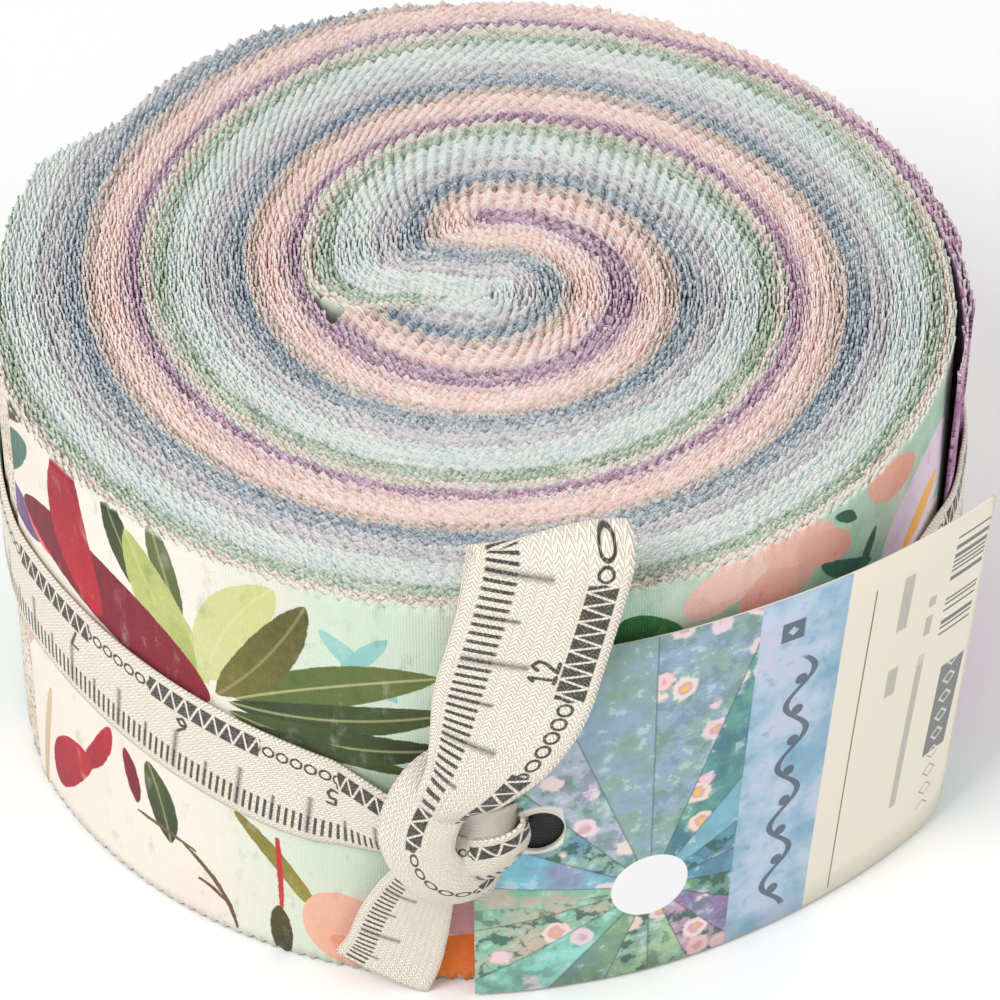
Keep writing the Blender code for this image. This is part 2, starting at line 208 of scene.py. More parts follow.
class Shader:
    """The node tree of one material."""

    def __init__(self, name: str, roughness: float, sheen: float = 0.0) -> None:
        """Start a material with a Principled shader.

        Args:
            name: The material's name.
            roughness: Roughness all over.
            sheen: Weight of the soft sheen of fibres.
        """
        self.material = bpy.data.materials.new(name)
        self.material.use_nodes = True
        self.tree = self.material.node_tree
        self.surface = self.tree.nodes["Principled BSDF"]
        self.surface.inputs["Roughness"].default_value = roughness
        self.surface.inputs["Specular IOR Level"].default_value = 0.25
        self.surface.inputs["Sheen Weight"].default_value = sheen
        self.surface.inputs["Sheen Roughness"].default_value = 0.6

    def node(self, kind: str, settings: dict, inputs: Union[Sequence, dict],
             output: Union[int, str] = 0) -> Value:
        """Add one node.

        Args:
            kind: The node's type.
            settings: Its properties, set before its sockets.
            inputs: Values or links for its sockets, by place or by name.
            output: Which of its outputs to give.

        Returns:
            That output.
        """
        made = self.tree.nodes.new(kind)
        for key, value in settings.items():
            if key == "stops":
                self.set_stops(made.color_ramp, value)
            else:
                setattr(made, key, value)
        pairs = inputs.items() if isinstance(inputs, dict) else enumerate(inputs)
        for key, value in pairs:
            if isinstance(value, Value):
                self.tree.links.new(value.socket, made.inputs[key])
            else:
                made.inputs[key].default_value = value
        return Value(self, made.outputs[output])

    @staticmethod
    def set_stops(ramp: bpy.types.ColorRamp, colours: Sequence[Colour]) -> None:
        """Give a ramp equal steps of flat colour.

        Args:
            ramp: The ramp.
            colours: Its colours in order.
        """
        ramp.interpolation = "CONSTANT"
        for place, colour in enumerate(colours):
            stop = ramp.elements[0] if place == 0 else ramp.elements.new(place / len(colours))
            stop.position = place / len(colours)
            stop.color = (*colour, 1.0)
        if len(ramp.elements) > len(colours):
            ramp.elements.remove(ramp.elements[-1])

    def mix(self, factor: Operand, first: Union[Value, Colour], second: Union[Value, Colour],
            blend: str = "MIX") -> Value:
        """Mix two colours.

        Args:
            factor: Share of the second colour.
            first: The colour at 0.
            second: The colour at 1.
            blend: How they mix.

        Returns:
            The mixed colour.
        """
        ends = [end if isinstance(end, Value) else (*end, 1.0) for end in (first, second)]
        return self.node("ShaderNodeMix", {"data_type": "RGBA", "blend_type": blend},
                         {0: factor, 6: ends[0], 7: ends[1]}, 2)

    def uv(self) -> tuple[Value, Value, Value]:
        """Give the pattern's vector and its two coordinates in millimetres.

        Returns:
            The pattern coordinates, and the first and the second of them.
        """
        vector = self.node("ShaderNodeUVMap", {"uv_map": "pattern"}, [])
        parts = self.node("ShaderNodeSeparateXYZ", {}, [vector])
        up = Value(self, parts.socket.node.outputs[1])
        return vector, parts, up

    def attribute(self, name: str) -> Value:
        """Read a number stored on the mesh."""
        return self.node("ShaderNodeAttribute", {"attribute_name": name}, [], "Fac")

    def vector(self, x: Operand, y: Operand, z: Operand = 0.0) -> Value:
        """Join three numbers into a vector."""
        return self.node("ShaderNodeCombineXYZ", {}, [x, y, z])

    def noise(self, vector: Value, scale: float, detail: float = 2.0,
              roughness: float = 0.5) -> Value:
        """Give a soft noise around one half.

        Args:
            vector: Where it is read.
            scale: Lumps per unit.
            detail: Octaves.
            roughness: Strength of the finer octaves.

        Returns:
            The noise.
        """
        return self.node("ShaderNodeTexNoise", {},
                         {"Vector": vector, "Scale": scale, "Detail": detail,
                          "Roughness": roughness})

    def cells(self, vector: Value, scale: float) -> tuple[Value, Value]:
        """Scatter cells.

        Args:
            vector: Where they are read.
            scale: Cells per unit.

        Returns:
            The distance to the nearest cell's centre, and a colour for each cell.
        """
        away = self.node("ShaderNodeTexVoronoi", {}, {"Vector": vector, "Scale": scale})
        return away, Value(self, away.socket.node.outputs["Color"])

    def stretched(self, vector: Value, x: float, y: float, turn: float = 0.0) -> Value:
        """Scale a vector by x and y after turning it by an angle in degrees.

        Args:
            vector: The coordinates.
            x: Scale of the first one.
            y: Scale of the second one.
            turn: Turn in degrees.

        Returns:
            The stretched coordinates.
        """
        return self.node("ShaderNodeMapping", {},
                         {"Vector": vector, "Scale": (x, y, 1.0),
                          "Rotation": (0.0, 0.0, math.radians(turn))})

    def finish(self, colour: Value, height: Optional[Value] = None,
               depth: float = 0.0) -> bpy.types.Material:
        """Link the colour and the relief.

        Args:
            colour: Base colour.
            height: Relief from 0 to 1.
            depth: What a height of 1 stands for, in metres.

        Returns:
            The material.
        """
        self.tree.links.new(colour.socket, self.surface.inputs["Base Color"])
        if height is not None:
            bump = self.node("ShaderNodeBump", {}, {"Strength": 1.0, "Distance": depth,
                                                    "Height": height})
            self.tree.links.new(bump.socket, self.surface.inputs["Normal"])
        return self.material


# Meshes


def polar(angle: np.ndarray, radius: np.ndarray) -> np.ndarray:
    """Give plan points: radius times the cosine and sine of an angle in degrees."""
    turn = np.radians(angle)
    return np.stack([radius * np.cos(turn), radius * np.sin(turn)], axis=-1)


def catmull(points: np.ndarray, places: np.ndarray) -> np.ndarray:
    """Read a smooth curve through rows of numbers.

    Between two rows the value is the Catmull-Rom cubic: half of 2b + (c - a)t +
    (2a - 5b + 4c - d)t^2 + (3b - a - 3c + d)t^3.

    Args:
        points: One row for each whole place.
        places: Where the curve is read, in rows.

    Returns:
        One row for each place.
    """
    last = len(points) - 1
    base = np.clip(np.floor(places).astype(int), 0, last - 1)
    a, b, c, d = (points[np.clip(base + step, 0, last)] for step in (-1, 0, 1, 2))
    a = np.where((base == 0)[:, None], 2 * b - c, a)
    d = np.where((base == last - 1)[:, None], 2 * c - b, d)
    t = (places - base)[:, None]
    return 0.5 * (2 * b + (c - a) * t + (2 * a - 5 * b + 4 * c - d) * t ** 2
                  + (3 * b - a - 3 * c + d) * t ** 3)


def run_length(points: np.ndarray) -> np.ndarray:
    """Give each point's distance along the line through the points."""
    steps = np.linalg.norm(np.diff(points, axis=0), axis=1)
    return np.concatenate([[0.0], np.cumsum(steps)])


def unit(vectors: np.ndarray) -> np.ndarray:
    """Scale vectors to length one."""
    return vectors / np.maximum(np.linalg.norm(vectors, axis=-1, keepdims=True), 1e-12)


def closed_volume(points: np.ndarray, quads: np.ndarray) -> float:
    """Give the signed volume inside quads: a sixth of the sum of each triangle's a . (b x c).

    Args:
        points: The points.
        quads: The faces.

    Returns:
        The volume, negative where the faces look inwards.
    """
    halves = np.concatenate([quads[:, [0, 1, 2]], quads[:, [0, 2, 3]]])
    a, b, c = (points[halves[:, side]] for side in range(3))
    return float(np.einsum("ij,ij->", a, np.cross(b, c)) / 6.0)


def tube_object(name: str, rings: np.ndarray, pattern: np.ndarray,
                marks: Optional[dict[str, np.ndarray]] = None) -> bpy.types.Object:
    """Make a closed body from rings of points along a path.

    Point (i, j) joins (i + 1, j) and (i, j + 1), the last point of a ring joins its first,
    and both ends are closed with a strip of quads across the ring.

    Args:
        name: The piece's name.
        rings: Points by ring and place, an even number in each ring.
        pattern: Pattern coordinates in millimetres, by ring and place.
        marks: Numbers to store at each point, by name.

    Returns:
        The object, linked to the scene.
    """
    count, sides = rings.shape[:2]
    points = rings.reshape(-1, 3)
    index = np.arange(count * sides).reshape(count, sides)
    after = np.roll(index, -1, axis=1)
    walls = np.stack([index[:-1], index[1:], after[1:], after[:-1]], axis=-1).reshape(-1, 4)
    half = sides // 2
    near = np.arange(half - 1)
    cap = np.stack([near, near + 1, sides - 2 - near, sides - 1 - near], axis=-1)
    quads = np.concatenate([walls, index[0][cap], index[-1][cap][:, ::-1]])
    if closed_volume(points, quads) < 0:
        quads = quads[:, ::-1]
    return mesh_object(name, points, quads, pattern.reshape(-1, 2), marks)


def mesh_object(name: str, points: np.ndarray, quads: np.ndarray, pattern: np.ndarray,
                marks: Optional[dict[str, np.ndarray]] = None) -> bpy.types.Object:
    """Put points and quads into a linked object with smooth faces.

    Args:
        name: The piece's name.
        points: The points.
        quads: Four points for each face.
        pattern: Pattern coordinates at each point, in millimetres.
        marks: Numbers to store at each point, by name.

    Returns:
        The object.
    """
    mesh = bpy.data.meshes.new(name)
    mesh.vertices.add(len(points))
    mesh.vertices.foreach_set("co", points.astype(np.float32).ravel())
    mesh.loops.add(quads.size)
    mesh.loops.foreach_set("vertex_index", quads.astype(np.int32).ravel())
    mesh.polygons.add(len(quads))
    mesh.polygons.foreach_set("loop_start", np.arange(0, quads.size, 4, dtype=np.int32))
    mesh.polygons.foreach_set("use_smooth", np.ones(len(quads), bool))
    mesh.update(calc_edges=True)
    layer = mesh.uv_layers.new(name="pattern")
    layer.data.foreach_set("uv", pattern[quads.ravel()].astype(np.float32).ravel())
    for key, values in (marks or {}).items():
        stored = mesh.attributes.new(key, "FLOAT", "POINT")
        stored.data.foreach_set("value", values.astype(np.float32).ravel())
    mesh.validate()
    thing = bpy.data.objects.new(name, mesh)
    bpy.context.scene.collection.objects.link(thing)
    return thing


# Finishes of the strips


@dataclass(frozen=True)
class StripPrint:
    """The printed cotton of a run of strips, as it shows along the pinked edges."""

    slot: Slot
    ground: Colour
    motif: Colour
    fleck: Colour
    motif_share: float = 0.45
    fleck_share: float = 0.25

    def material(self) -> bpy.types.Material:
        """Make the cotton: print blots along the strip, flecks, paler frayed tips and painted shade.

        Returns:
            The material.
        """
        shader = Shader(f"cotton_{self.slot.value}", roughness=0.95, sheen=0.15)
        _, along, up = shader.uv()
        seed = shader.attribute("seed")
        place = shader.vector(along * 0.1, up * 0.1, seed)
        blots = shader.noise(place, 2.2, 2.0)
        colour = shader.mix(blots.ramp(0.62 - self.motif_share * 0.4, 0.78 - self.motif_share * 0.4),
                            self.ground, self.motif)
        specks = shader.noise(shader.vector(along, up, seed * 7.0), 1.6, 3.0, 0.7)
        edge = 0.70 - self.fleck_share * 0.45
        colour = shader.mix(specks.ramp(edge, edge + 0.07), colour, self.fleck)
        frayed = up.ramp(62.0, 63.6) * shader.noise(shader.vector(along, up, seed), 3.0).ramp(
            0.3, 0.7, 0.15, 0.75)
        colour = shader.mix(frayed, colour, rgb("F3EEE8"))
        threads = shader.noise(shader.stretched(shader.vector(along, up, seed), 3.0, 1.0), 3.0, 2.0)
        # Painted shade: dark patches just below the pinked edge stand in for the shade down in the gaps
        # there.
        gaps = shader.noise(shader.vector(along, up, seed * 3.0), 1.1, 3.0, 0.65)
        colour = shader.mix(gaps.ramp(0.42, 0.34) * up.ramp(60.5, 62.0) * 0.45, colour, self.fleck)
        return shader.finish(colour, threads, 0.14 * MM)


PRINTS = {finish.slot: finish for finish in (
    StripPrint(Slot.PLUM, rgb("A5709A"), rgb("D0A4C2"), rgb("5C2B4E"), 0.45, 0.4),
    StripPrint(Slot.PINK, rgb("DDB9C0"), rgb("EBD5D2"), rgb("A0648A"), 0.5, 0.25),
    StripPrint(Slot.PEACH, rgb("F2CFC4"), rgb("F7E0D9"), rgb("D08A78"), 0.5, 0.18),
    StripPrint(Slot.TAN, rgb("D9C3B0"), rgb("CBB7B8"), rgb("8C6A4C"), 0.5, 0.35),
    StripPrint(Slot.SLATE, rgb("90A5B5"), rgb("B9C2CC"), rgb("35566C"), 0.45, 0.45),
    StripPrint(Slot.GREY, rgb("C3C4CA"), rgb("D5D2D5"), rgb("7F7B8C"), 0.5, 0.28),
    StripPrint(Slot.AQUA, rgb("CFDEDD"), rgb("E2E6E2"), rgb("7FB0AE"), 0.5, 0.16),
    StripPrint(Slot.GREEN, rgb("A5BDA4"), rgb("C6D0BC"), rgb("4F7F5C"), 0.45, 0.42),
    StripPrint(Slot.CREAM, rgb("DCCFBE"), rgb("E8DCD0"), rgb("9A7B5A"), 0.5, 0.35),
)}


# The wall's floral print


@dataclass(frozen=True)
class Leaf:
    """One pointed painted shape between two points, in millimetres of the print.

    The first coordinate runs round the roll from the knot's side and the second runs up.
    """

    root: tuple[float, float]
    tip: tuple[float, float]
    width: float
    colour: Colour
    shade: Colour
    bend: float = 0.0
    blunt: float = 0.6
    vein: float = 0.0

    @staticmethod
    def slanted(along: Value, up: Value, x: float, y: float, base: float) -> Value:
        """Give x times the first coordinate, plus y times the second, plus a base."""
        return along.math("MULTIPLY_ADD", x, up.math("MULTIPLY_ADD", y, base))

    def paint(self, shader: Shader, along: Value, up: Value, rough: Value,
              under: Value) -> Value:
        """Paint the shape over what is there.

        Along t from 0 at the root to 1 at the tip and across n, the middle line is
        4 bend t (1 - t) and half the width follows (4 t (1 - t)) ^ blunt.

        Args:
            shader: The material's shader.
            along: The print's first coordinate.
            up: The print's second coordinate.
            rough: A noise around one half that roughens outlines.
            under: The colour below.

        Returns:
            The colour with the shape on it.
        """
        reach = np.subtract(self.tip, self.root)
        length = float(np.hypot(*reach))
        cos, sin = reach / length
        x, y = self.root
        t = self.slanted(along, up, cos / length, sin / length, -(x * cos + y * sin) / length)
        n = self.slanted(along, up, -sin, cos, x * sin - y * cos)
        belly = (t * (1.0 - t)).high(0.0) * 4.0
        across = n - belly * self.bend if self.bend else n
        inside = (belly ** self.blunt) * (self.width / 2) - across.abs() + (rough - 0.5) * 0.5
        mask = inside.low(belly * length - 0.1).ramp(-0.08, 0.12)
        tone = shader.mix(t.ramp(0.0, 1.0) * 0.5 + rough * 0.9 - 0.2, self.colour, self.shade)
        if self.vein:
            tone = shader.mix(across.abs().ramp(0.32, 0.05) * self.vein, tone, rgb("DDDCA0"))
        return shader.mix(mask, under, tone)


def around(angle: float, height: float) -> tuple[float, float]:
    """Give the print's coordinates at an angle about the roll and a height in millimetres."""
    return ((angle + 90.0) * FloralPrint.degree, height)


@dataclass(frozen=True)
class FloralPrint:
    """The painted flowers of the outermost strip."""

    degree: float = 1.065
    red: Colour = rgb("C4122B")
    crimson: Colour = rgb("8E1226")
    leaf: Colour = rgb("4F5F2E")
    deep: Colour = rgb("27331C")
    olive: Colour = rgb("7C7530")
    bud: Colour = rgb("C9CE86")

    def leaves(self) -> list[Leaf]:
        """List the painted shapes from the lowest layer to the top one.

        Returns:
            The shapes.
        """
        teal, peach, pink = rgb("7FBFB8"), rgb("E9A58C"), rgb("E7B3A8")
        at = around
        big = [
            Leaf(at(-100, 47), at(-109, 57), 3.0, teal, rgb("A5D3CB")),
            Leaf(at(-107, 50), at(-101, 57), 2.6, teal, rgb("9CCFC8")),
            Leaf(at(-106, 46), at(-99, 51), 2.2, rgb("8DC7C0"), teal),
            Leaf(at(-120, 41.5), at(-95, 51.5), 6.4, self.leaf, rgb("6C7A3C"), 1.5, 0.8, 0.5),
            Leaf(at(-121, 40.5), at(-93, 46), 5.0, self.deep, self.leaf, -0.6, 0.8, 0.4),
            Leaf(at(-121, 39), at(-94, 40), 5.5, self.leaf, self.deep, -1.2, 0.8, 0.4),
            Leaf(at(-118, 38), at(-97, 35), 2.6, self.deep, self.leaf, 0.6, 0.8),
            Leaf(at(-130.5, 50), at(-138.5, 64.5), 5.2, self.leaf, self.deep, 0.8, 0.7, 0.3),
            Leaf(at(-127, 50), at(-131, 65.5), 4.0, self.leaf, rgb("6A7440"), 0.3, 0.7, 0.3),
            Leaf(at(-123.5, 42), at(-135, 61), 7.4, self.bud, rgb("A8B560"), 1.2, 0.75, 0.4),
            Leaf(at(-124, 43), at(-114.5, 61.5), 8.2, rgb("D3D59A"), self.bud, 1.5, 0.6, 0.5),
            Leaf(at(-125.5, 42), at(-130, 54), 4.2, rgb("93A24C"), self.bud, 0.2, 0.7),
            Leaf(at(-122.5, 41), at(-110.5, 60), 6.2, self.olive, rgb("4C4A22"), -1.0, 0.65, 0.2),
        ]
        bird = [
            Leaf(at(-164.5, 50), at(-155, 60), 5.4, rgb("2F5450"), rgb("5D7F74"), 0.5),
            Leaf(at(-165, 59), at(-154, 65.5), 3.4, rgb("4A3B33"), rgb("6B5648"), 0.0, 0.5),
            Leaf(at(-152.5, 46.5), at(-163, 49), 5.2, rgb("4C3A66"), rgb("8B6A9C"), 0.6, 0.5),
            Leaf(at(-149.5, 46), at(-156.5, 50), 4.4, rgb("F07A4A"), rgb("E9677A"), 0.3, 0.5),
            Leaf(at(-123.5, 39.5), at(-157, 50), 10.5, self.crimson, rgb("6E0F22"), -2.4, 0.55),
            Leaf(at(-141, 42.5), at(-146, 66), 8.4, self.red, self.crimson, 2.6, 0.55),
        ]
        low = [
            Leaf(at(-140.5, 24), at(-147, 12.5), 3.2, self.red, self.crimson, 0.7, 0.5),
            Leaf(at(-145.5, 15), at(-154, 4), 6.6, self.red, self.crimson, -1.2, 0.5),
            Leaf(at(-138, 22.5), at(-136.3, 14), 2.6, self.crimson, rgb("6E1A28"), 0.2, 0.6),
            Leaf(at(-134, 23), at(-131, 10.5), 4.8, self.leaf, self.deep, 0.4, 0.7, 0.3),
            Leaf(at(-136.5, 12.8), at(-127, 11.5), 0.7, rgb("7C5A3C"), self.leaf, 0.3, 0.2),
            Leaf(at(-129, 11.8), at(-121.5, 1.0), 0.9, rgb("7C5A3C"), rgb("5B4330"), 1.6, 0.2),
            Leaf(at(-127, 7), at(-123, 5), 0.7, rgb("7C5A3C"), rgb("5B4330"), 0.4, 0.2),
            Leaf(at(-121, 22), at(-110.5, 8.5), 2.6, self.olive, rgb("9A8F38"), 0.7, 0.45),
            Leaf(at(-115.4, 20), at(-115.2, 7.5), 0.9, self.red, rgb("B5483C"), 0.1, 0.2),
            Leaf(at(-115.6, 8), at(-115.2, -1), 3.2, rgb("59501F"), self.deep, 0.0, 0.6),
            Leaf(at(-101, 3), at(-111.5, 11), 12.0, peach, rgb("F0BBA4"), 0.6, 0.5),
            Leaf(at(-104, 2), at(-109, 5), 3.4, rgb("E8794A"), peach, 0.0, 0.5),
            Leaf(at(-88, 9), at(-97, 18), 11.0, rgb("D68E98"), rgb("E2B4B0"), 0.0, 0.5),
            Leaf(at(-87, 5), at(-99, 2), 9.5, rgb("E5571F"), rgb("EE8A2C"), 0.0, 0.4),
        ]
        right = [
            Leaf(at(-67, 57), at(-56, 62), 7.0, pink, rgb("F0CDBF"), 0.0, 0.45),
            Leaf(at(-60, 53.5), at(-49, 57), 7.5, rgb("E9A596"), pink, 0.6, 0.45),
            Leaf(at(-57, 62), at(-46, 59), 6.0, rgb("EDBBA8"), pink, 0.0, 0.45),
            Leaf(at(-52, 60), at(-43, 55), 5.4, pink, rgb("E69C8C"), 0.0, 0.5),
            Leaf(at(-40, 62), at(-29, 58), 6.0, rgb("EBB4A0"), rgb("E59B84"), -0.6, 0.5),
            Leaf(at(-67, 52), at(-75, 58), 7.2, rgb("2E7A2E"), rgb("17501E"), 0.6, 0.5),
            Leaf(at(-48, 55), at(-38.5, 49.5), 2.8, rgb("1F6B58"), rgb("124A40"), -0.8, 0.7),
            Leaf(at(-40.5, 49), at(-38, 54.5), 2.0, rgb("1F6B58"), rgb("124A40"), 0.2, 0.7),
            Leaf(at(-46, 61.5), at(-42, 58.5), 1.8, rgb("2A6B4A"), rgb("124A40"), 0.2, 0.7),
            Leaf(at(-36, 46), at(-16, 53), 13.0, rgb("DCC2DE"), rgb("EBDCE8"), 0.0, 0.4),
            Leaf(at(-33, 39), at(-18, 42), 8.0, rgb("E8D2DE"), rgb("F0E4DE"), 0.0, 0.4),
            Leaf(at(-31, 45), at(-20, 49), 3.6, rgb("F0A233"), rgb("F6C56A"), 0.4, 0.5),
        ]
        left = [
            Leaf(at(-180, 2), at(-158, 28), 6.0, rgb("D79AB8"), rgb("E6B9C8"), 0.6, 0.3),
            Leaf(at(-181, 5), at(-160, 26), 2.6, rgb("EE7A50"), rgb("F0A080"), 0.4, 0.3),
            Leaf(at(-158, 0), at(-154, 20), 1.6, rgb("C9B08C"), rgb("D8C4A4"), 0.4, 0.3),
        ]
        return left + low + big + bird + right + self.unseen()

    def unseen(self) -> list[Leaf]:
        """Repeat the print's flowers round the far side of the roll.

        Returns:
            The shapes.
        """
        shapes = []
        for turn, lift in ((20, 30), (65, 12), (110, 38), (155, 20), (200, 44), (240, 14)):
            middle = around(turn - 10.0, lift)
            for step, colour in enumerate((rgb("E7B3A8"), rgb("C98AA6"), rgb("EBC9B0"))):
                swing = math.radians(turn * 3.0 + 125.0 * step)
                tip = (middle[0] + 15.0 * math.cos(swing), middle[1] + 15.0 * math.sin(swing))
                green = (middle[0] - 17.0 * math.sin(swing), middle[1] + 17.0 * math.cos(swing))
                shapes.append(Leaf(middle, green, 4.6, self.leaf, self.deep, 1.0, 0.7, 0.4))
                shapes.append(Leaf(middle, tip, 9.5, colour, self.crimson if step == 1
                                   else rgb("F2DCD0"), 1.2, 0.5))
        return shapes

    def material(self) -> bpy.types.Material:
        """Make the printed cotton with its weave, darkened between the threads as painted shade.

        Returns:
            The material.
        """
        shader = Shader("cotton_print_floral", roughness=0.9, sheen=0.12)
        vector, along, up = shader.uv()
        wash = shader.noise(vector, 0.06, 2.0)
        cloudy = shader.noise(vector, 0.25, 3.0)
        rough = shader.noise(vector, 0.7, 3.0, 0.6)
        side = along.ramp(-42.0, -16.0)
        ground = shader.mix(side, rgb("EFE7DA"), rgb("CFE0CB"))
        teal = along.ramp(-3.0, 14.0) * along.ramp(190.0, 120.0) * up.ramp(66.0, 48.0, 0.45, 1.0)
        ground = shader.mix(teal * cloudy.ramp(0.25, 0.65, 0.55, 1.0), ground, rgb("86B9A4"))
        ground = shader.mix(wash.ramp(0.5, 0.7) * 0.35, ground, rgb("F0D8CC"))
        colour = ground
        for leaf in self.leaves():
            colour = leaf.paint(shader, along, up, rough, colour)
        brush = shader.noise(shader.stretched(vector, 1.0, 0.5, 0.5), 0.35, 4.0, 0.65)
        colour = shader.mix(brush.ramp(0.55, 0.78) * 0.20, colour, rgb("F3ECDD"))
        colour = shader.mix(brush.ramp(0.45, 0.25) * 0.35, colour, rgb("8F9A80"), "MULTIPLY")
        frayed = up.ramp(62.1, 63.4) * rough.ramp(0.3, 0.6, 0.3, 0.9)
        colour = shader.mix(frayed, colour, rgb("F1ECE2"))
        threads = (along.line(0.37, 0.5) + up.line(0.37, 0.5)) * 0.5
        # Painted shade: the hollows between the threads are darkened.
        colour = shader.mix(threads.ramp(0.1, 0.0) * 0.16, colour, rgb("6E6A60"), "MULTIPLY")
        return shader.finish(colour, threads + rough * 0.3, 0.05 * MM)


# The roll


@dataclass
class Winding:
    """The roll's spiral, as smooth rungs across the folded stack.

    Each rung is a straight line across the stack from its inner face. The inner face's
    radius grows by one stack thickness a turn, less a dip that repeats each turn.
    """

    stack: float = 21.0 * MM
    core_radius: float = 14.3 * MM
    core_dip: float = 8.8 * MM
    start_angle: float = 82.0
    per_turn: int = 15
    windings: int = 36
    inner_leg: int = 10
    eye: tuple[float, float] = (1.5 * MM, -1.2 * MM)
    parting: tuple[tuple[float, float], ...] = (
        (-5.0 * MM, -3.3 * MM), (-10.5 * MM, -3.9 * MM), (-16.0 * MM, -3.7 * MM))
    gap: float = -0.4 * MM
    spare: float = 18.0 * MM
    strips: int = 40
    strip_length: float = 1118 * MM
    fold_places: tuple[tuple[float, float], ...] = (
        (0.0, -738.0), (0.10, -690.0), (0.28, -632.0), (0.42, -608.0), (0.53, -602.0),
        (0.56, -577.0), (0.84, -565.0), (0.86, -545.0), (1.0, -520.0))
    first: np.ndarray = field(init=False)
    last: np.ndarray = field(init=False)
    room: np.ndarray = field(init=False)
    dense: np.ndarray = field(init=False)
    dense_first: np.ndarray = field(init=False)
    dense_last: np.ndarray = field(init=False)
    outer_leg: int = field(init=False)

    def __post_init__(self) -> None:
        """Work out the rungs from the raw ends, round the crease and up the spiral."""
        rungs = []
        eye, parting = np.array(self.eye), np.array(self.parting)
        down = np.array([0.0, self.gap])
        for step in range(self.inner_leg, -1, -1):
            past = step - (self.inner_leg - len(parting))
            end = parting[past - 1] - down if past > 0 else eye
            rungs.append(self.rung(self.inner_face(step), end, self.stack))
        tip = self.inner_face(0)
        for end in parting + down:
            whole = np.linalg.norm(end - tip) - self.gap >= self.stack
            rungs.append(self.rung(tip, end, None if whole else self.stack))
        for step in range(self.inner_leg + 1, self.per_turn):
            rungs.append(self.rung(tip, self.inner_face(step), None))
        self.outer_leg = len(rungs)
        for step in range(self.windings):
            rungs.append(self.rung(self.inner_face(step), self.inner_face(step + self.per_turn),
                                   None))
        self.first, self.last = (np.array([rung[side] for rung in rungs]) for side in (0, 1))
        self.room = np.array([rung[2] for rung in rungs])
        self.dense = np.arange(0.0, len(rungs) - 1 + 1e-9, 0.02)
        self.dense_first = catmull(self.first, self.dense)
        self.dense_last = catmull(self.last, self.dense)

    def inner_face(self, rung: float) -> np.ndarray:
        """Give the plan point of the stack's inner face at a rung of the winding.

        Args:
            rung: The rung, counted from the crease.

        Returns:
            The point.
        """
        turns = rung / self.per_turn
        dip = abs(math.sin(math.pi * (turns % 1.0) ** 1.7)) ** 1.6
        radius = self.core_radius + self.stack * turns - self.core_dip * dip
        return polar(self.start_angle - 360.0 * turns, radius)

    def rung(self, start: np.ndarray, end: np.ndarray,
             spread: Optional[float]) -> tuple[np.ndarray, np.ndarray, float]:
        """Describe one rung.

        Args:
            start: Where the inner face is.
            end: Where the room for strips ends.
            spread: The stack's thickness there, or None to fill the room.

        Returns:
            The stack's inner and outer point, and the share of the stack that has room.
        """
        reach = float(np.linalg.norm(end - start)) - 0.06 * MM
        along = (end - start) / np.linalg.norm(end - start)
        near = start + along * 0.06 * MM
        return near, near + along * (spread or reach), (reach - self.gap * bool(spread)) / (
            spread or reach)

    def span(self, number: int) -> tuple[float, float]:
        """Give the places of a strip's raw ends and of its folded end.

        Args:
            number: The strip, counted from 0.

        Returns:
            The raw ends' place and the fold's place.
        """
        offset = number / self.strips
        table = np.array(self.fold_places)
        angle = np.interp(number / (self.strips - 1), table[:, 0], table[:, 1])
        fold = self.outer_leg + (self.start_angle - angle) * self.per_turn / 360.0
        fold = min(fold, self.dense[-1] - 0.05)
        line = self.dense_first + (self.dense_last - self.dense_first) * offset
        length = run_length(line)
        fold_length = np.interp(fold, self.dense, length)
        start = np.interp(fold_length - self.strip_length / 2 - self.spare, length, self.dense)
        room = np.interp(self.dense, np.arange(len(self.room)), self.room)
        blocked = (self.dense < self.outer_leg) & (room < offset + 0.5 / self.strips)
        blocked &= self.dense < fold
        if blocked.any():
            start = max(start, self.dense[blocked].max() + 0.04)
        return float(start), float(fold)

    def layer(self, start: float, fold: float, low: float, high: float,
              step: float) -> tuple[np.ndarray, np.ndarray, np.ndarray, np.ndarray]:
        """Read one layer of a strip at even steps along it.

        Args:
            start: Place of the raw end.
            fold: Place of the folded end.
            low: Share of the stack at its inner face.
            high: Share of the stack at its outer face.
            step: Distance between readings.

        Returns:
            Inner and outer plan points, distances from the crease, and places.
        """
        reach = self.dense_last - self.dense_first
        length = run_length(self.dense_first + reach * (low + high) / 2)
        length -= np.interp(self.outer_leg, self.dense, length)
        ends = np.interp([start, fold], self.dense, length)
        even = np.arange(math.ceil(ends[0] / step + 0.2), math.floor(ends[1] / step - 0.2)) * step
        marks = np.concatenate([[ends[0]], even, [ends[1]]])
        places = np.interp(marks, length, self.dense)
        first, last = catmull(self.first, places), catmull(self.last, places)
        return first + (last - first) * low, first + (last - first) * high, marks, places


